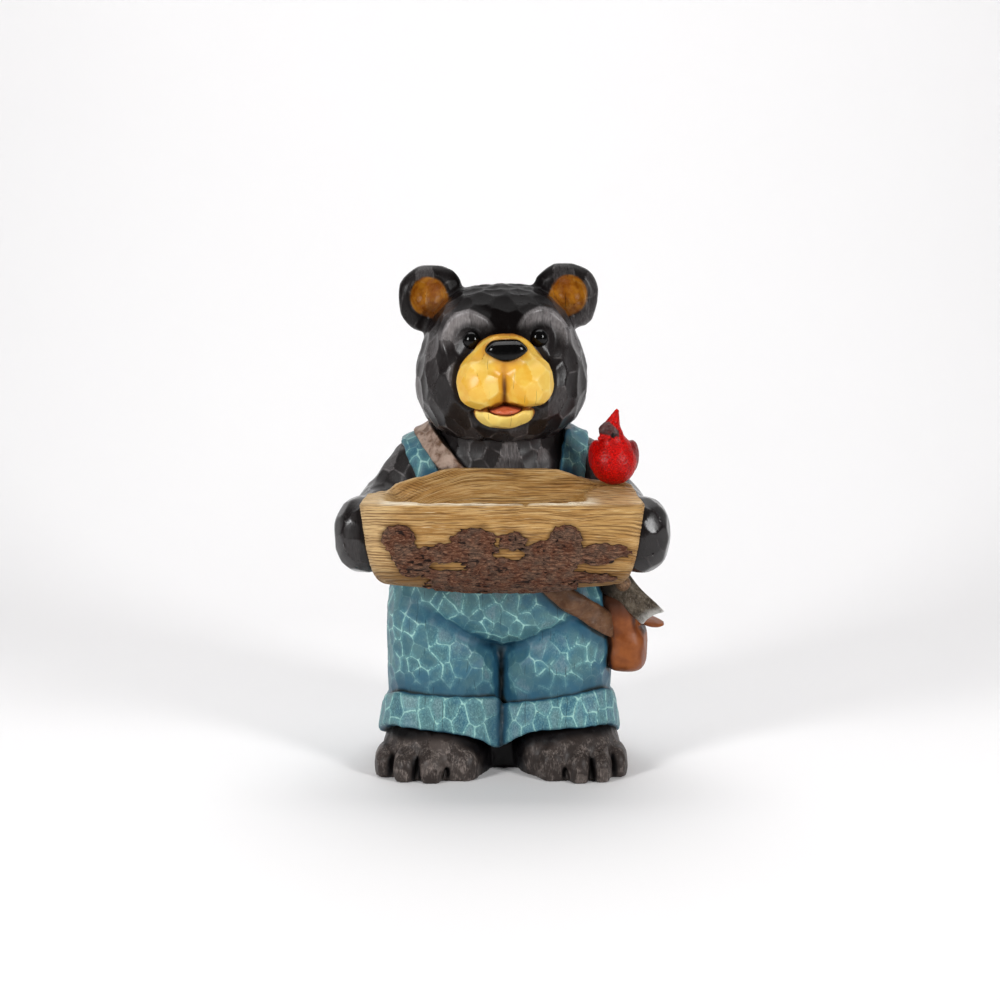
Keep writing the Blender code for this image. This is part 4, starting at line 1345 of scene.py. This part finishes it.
def make_bear():
    fur, blue, gloss = fur_paint(), overalls_paint(), gloss_black()
    head_chips = dict(spacing=19, depth=1.5, stretch=(1, 1, 0.68), seed=3, where=head_carving_share)
    body_chips = dict(spacing=16, depth=0.85, stretch=(1, 1, 0.8), seed=5)
    cloth_chips = dict(
        spacing=17, depth=1.0, stretch=(1, 1, 0.85), seed=8, wobble=2.2, unevenness=0.5, gap=0.7,
    )
    cuff_chips = dict(spacing=15, depth=0.8, stretch=(1, 1, 0.6), seed=12, wobble=1.5, unevenness=0.4)
    foot_chips = dict(spacing=13, depth=0.5, stretch=(1, 1, 0.8), seed=15)
    muzzle_chips = dict(spacing=16, depth=1.1, seed=21, stretch=(1, 1, 0.8))
    leather_chips = dict(spacing=19, depth=0.6, seed=25, wobble=2.0)
    # Name, field, the box it lies in, paint, the record's slot, voxel, carving and marks
    plan = (
        ("bear_head", in_head(fur_of_head), ((-120, -100, 325), (122, 100, 516)), fur, "fur_paint", 1.55,
         head_chips, fur_head_marks),
        ("bear_body", fur_body, ((-176, -140, 200), (182, 104, 370)), fur, "fur_paint", 2.05, body_chips,
         fur_body_marks),
        ("bear_muzzle", in_head(snout_of), ((-60, -128, 350), (62, -20, 456)), muzzle_paint(),
         "muzzle_paint", 1.15, muzzle_chips, snout_marks),
        ("bear_nose", in_head(nose), ((-32, -128, 420), (34, -72, 460)), gloss, "gloss_black", 1.0),
        ("bear_eyes", in_head(eyes), ((-50, -80, 424), (52, -40, 466)), gloss, "gloss_black", 0.85),
        ("bear_tongue", in_head(tongue), ((-24, -108, 366), (26, -60, 388)), tongue_paint(),
         "tongue_paint", 1.0),
        ("bear_feet", shoes, ((-150, -130, -4), (156, 112, 74)), feet_paint(), "feet_paint", 1.95,
         foot_chips, shoe_marks),
        ("overalls", trousers, ((-130, -112, 20), (132, 116, 348)), blue, "overalls_paint", 2.05,
         cloth_chips, trouser_marks),
        ("trouser_cuffs", cuffs, ((-140, -96, 16), (142, 108, 100)), blue, "overalls_paint", 1.8,
         cuff_chips, cuff_marks),
        ("satchel_strap", strap, ((-120, -100, 100), (134, 110, 370)), strap_paint(), "strap_paint", 1.8,
         leather_chips),
        ("satchel", satchel, ((80, -60, 80), (176, 40, 198)), satchel_paint(), "satchel_paint", 1.5,
         leather_chips),
        ("hatchet_head", lambda p: beside_log(hatchet_head(p), p), ((80, -80, 130), (178, 20, 220)),
         steel_paint(), "steel_paint", 1.1, None, hatchet_marks),
        ("hatchet_handle", lambda p: beside_log(hatchet_handle(p), p), ((100, -70, 170), (142, -20, 212)),
         handle_paint(), "steel_paint", 1.0),
    )
    for entry in plan:
        carved(*entry)


# The log's pieces

GRAIN_SPACING = 2.8


def wood_height(q):
    """How high up in the wood's wavy layers a point lies."""
    drift = 4.5 * swell(q, (80, 60, 42)) + 1.6 * swell(q, (32, 24, 15)) + 0.5 * swell(q, (10, 9, 9))
    slant = 0.0038 * np.clip(-20 - q[0], 0, 95) ** 2 * ease(q[1], -80, -10)
    ledge = ease(q[2] - log_rim(q), -5, -1) * ease(q[0], 60, 80)
    return q[2] + 0.26 * (q[1] + 94) + 0.1 * q[0] * ledge + drift + slant


def wood_lines(q):
    """The grain: 0 on its ridges and 1 down in its grooves, which run along the log in wavy lines."""
    place = wood_height(q) / GRAIN_SPACING
    line = np.floor(place)
    here = swell((q[0] / 30, line * 1.71, line * 0), (1, 1, 1), 2)
    away = (np.abs(place - line - 0.5) - 0.10 * here) * GRAIN_SPACING
    return bell(np.maximum(away, 0), 0.5) * ease(here, -0.75, 0.1)


def rim_edge(q):
    """1 along the log's top edges, where it is brushed with cream, most of all in front of the hollow."""
    front = ease(-q[1], 50, 70) * ease(-np.abs(q[0] + 12), -112, -92)
    return ease(q[2] - log_rim(q), -3.0, -0.8) * (0.1 + 0.9 * front)


def log_wood(p):
    q = log_frame(p)
    split = 1.2 * swell(q, (7, 5, 40), 2) * ease(np.abs(q[0]), 55, 75) * ease(q[1], -42, -20)
    notch = 2.0 * bell(q[0] - 22, 2.2) * ease(-q[1], 60, 80)
    ripple = 0.8 * swell((q[0], q[1] * 0, q[2] * 0), (11, 1, 1), 2) * ease(-q[1], 60, 80)
    solid = common(log_outside(p), q[2] - log_rim(q) + 0.8 + split + notch + ripple, 1.5)
    return cut(solid, log_hollow(p), 2)


def bark_outline(q):
    """Distance outside the bark's patches with their ragged edges."""
    return np.maximum(bark_patches(q) + 2.0 * swell(q, (5, 5, 2.6), 2), q[1] + 8)


def bark_height(q):
    """How thick the bark is: scales with deep cracks between them."""
    lumps = swell(q, (16, 9, 7)) + 0.7 * swell(q, (6, 2.8, 2.4), 2)
    cracks = bell(swell(q, (9, 5, 4.0), 2), 0.12)
    return np.clip(2.3 + 1.1 * lumps - 2.1 * cracks, 0.2, 3.3)


def bark(p):
    """A shell of bark over the patches, rooted in the wood."""
    q = log_frame(p)
    shell = common(log_outside(p) - 0.3 - bark_height(q), bark_outline(q), 1)
    return common(shell, -log_outside(p) - 2.0)


def make_log():
    margin = 6
    half, depth, height = LOG_LENGTH / 2 / U, LOG_DEPTH / U, (LOG_HEIGHT + LOG_BACK_RISE) / U
    low = (LOG_MIDDLE_X - half - margin, LOG_BACK_Y - depth - margin, LOG_BOTTOM_Z - margin)
    high = (LOG_MIDDLE_X + half + margin, LOG_BACK_Y + margin, LOG_BOTTOM_Z + height + margin)
    points, quads = surface(log_wood, low, high, (3.2, 0.95, 0.95))
    normals = point_normals(points, quads)
    q = log_frame(tuple(points.T))
    groove = wood_lines(q)
    final = points - normals * (0.8 * groove + 0.1)[:, None]
    # The wood's marks: its grain, painted shade in creases and round the bark, cream along its top edges, and
    # darker towards the bottom
    new_piece(
        "log_wood", final * U, quads, wood_paint(), "wood_paint", "log_trough", groove=groove,
        fold=crease(points, normals, 9), edge=rim_edge(q), low=ease(-q[2], -40, -12), line=wood_height(q),
        halo=ease(-bark_outline(q), -5, 0),
    )
    points, quads = surface(bark, low, high, (1.6, 1.0, 1.0))
    groove = ease(-log_outside(tuple(points.T)), -2.1, -0.5)
    new_piece("log_bark", points * U, quads, bark_paint(), "bark_paint", "log_trough", groove=groove)


# The cardinal


def mask_share(h):
    """1 on the bird's dark face: it starts over the beak, is highest at the crest and ends round the eye."""
    along = 0.574 * np.abs(h[0]) + 0.819 * h[1]
    floor = 3.2 - 0.16 * (along + 11.7)
    roof = np.minimum(12 + 0.35 * (along + 11.7), 15 - 0.95 * (along + 3))
    return ease(h[2] - floor, -0.7, 0.7) * ease(roof - h[2], -0.9, 0.9) * ease(-along, -7.6, -6.2)


def make_cardinal():
    points, quads = surface(cardinal, (-34, -34, -4), (34, 62, 84), 0.95)
    normals = point_normals(points, quads)
    p = tuple(points.T)
    h = cardinal_head_frame(p)
    stipple = swell(p, (1.6, 1.6, 1.6), 2)
    plain = ease(-beak(h), -0.6, 0.3)
    scales = bell(np.mod(p[2] + 0.5 * p[1] + 1.2 * np.cos(p[1] * 0.9), 5.5), 1.1)
    wing = ease(-wings(p), -1.6, 0.0) * ease(p[0], 11, 16)
    dents = 0.28 * (1 - plain) * stipple - 0.45 * wing * scales
    eye = ease(-np.sqrt((np.abs(h[0]) - 9.0) ** 2 + (h[1] + 5.6) ** 2 + (h[2] - 1.9) ** 2), -3.0, -2.2)
    final = points + normals * (dents + 0.7 * eye)[:, None]
    low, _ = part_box("cardinal")
    perch = np.array([LOG_MIDDLE_X * U + LOG_LENGTH / 2 - PERCH_INSET, LOG_BACK_Y * U - PERCH_BACK, low.z])
    new_piece(
        "cardinal_bird", final * V + perch, quads, cardinal_paint(), "cardinal_paint", "cardinal",
        groove=np.clip(-stipple, 0, 1), mask=mask_share(h) * (1 - plain), eye=eye, wing=wing,
    )


# Stage, lights and camera

TARGET = (0, 0, 0.27)
FLOOR_BACK = 0.6
BACKDROP_BEND = 0.8
BEND_STEPS = 24
SHEET_FRONT, SHEET_TOP, SHEET_SIDE = -4.0, 4.0, 5.0
CAMERA_PLACE = (0, -2.3559, 0.7294)
CAMERA_TARGET = (0, 0, 0.2715)


def make_stage():
    """A seamless pale sheet that lies on the floor and curves up behind."""
    paint = Paint("backdrop_paint", roughness=0.8, specular=0.1)
    paint.ground(paint.noise(400.0, detail=1.0), (0.905, 0.895, 0.898), (0.925, 0.915, 0.918))
    profile = [(SHEET_FRONT, 0.0), (FLOOR_BACK, 0.0)]
    for step in range(1, BEND_STEPS + 1):
        angle = PI / 2 * step / BEND_STEPS
        rise = BACKDROP_BEND - BACKDROP_BEND * math.cos(angle)
        profile.append((FLOOR_BACK + BACKDROP_BEND * math.sin(angle), rise))
    profile.append((FLOOR_BACK + BACKDROP_BEND, SHEET_TOP))
    points = [(x, y, z) for y, z in profile for x in (-SHEET_SIDE, SHEET_SIDE)]
    faces = [(2 * i, 2 * i + 1, 2 * i + 3, 2 * i + 2) for i in range(len(profile) - 1)]
    backdrop = smooth_object("backdrop", points, faces, paint.done())


def placed(name, data, place, target):
    """A light or camera at this place that looks at the target."""
    obj = in_scene(name, data)
    obj.location = place
    obj.rotation_euler = (Vector(target) - Vector(place)).to_track_quat("-Z", "Y").to_euler()
    return obj


def soft_light(name, place, target, size, power):
    light = bpy.data.lights.new(name, "AREA")
    light.shape = "RECTANGLE"
    light.size, light.size_y = size
    light.energy = power
    placed(name, light, place, target)


def make_lights():
    soft_light("light_left", (-1.55, -1.45, 1.05), TARGET, (0.5, 0.8), 30)
    soft_light("light_right", (1.55, -1.45, 1.05), TARGET, (0.5, 0.8), 28)
    soft_light("light_top", (0, 0.5, 2.2), (0, 0.1, 0.2), (1.8, 1.4), 17)
    soft_light("light_backdrop", (0, 0.1, 2.4), (0, 1.3, 0.5), (2.4, 0.8), 9)
    world = bpy.data.worlds.new("studio")
    world.use_nodes = True
    sky = world.node_tree.nodes["Background"]
    sky.inputs["Color"].default_value = (0.97, 0.985, 1.0, 1.0)
    sky.inputs["Strength"].default_value = 0.08
    bpy.context.scene.world = world
    bpy.context.scene.view_settings.view_transform = "Standard"


def make_camera():
    camera = bpy.data.cameras.new("camera")
    camera.lens, camera.sensor_width = 84.9, 36
    bpy.context.scene.camera = placed("camera", camera, CAMERA_PLACE, CAMERA_TARGET)


make_camera()
make_stage()
make_lights()
make_bear()
make_log()
make_cardinal()
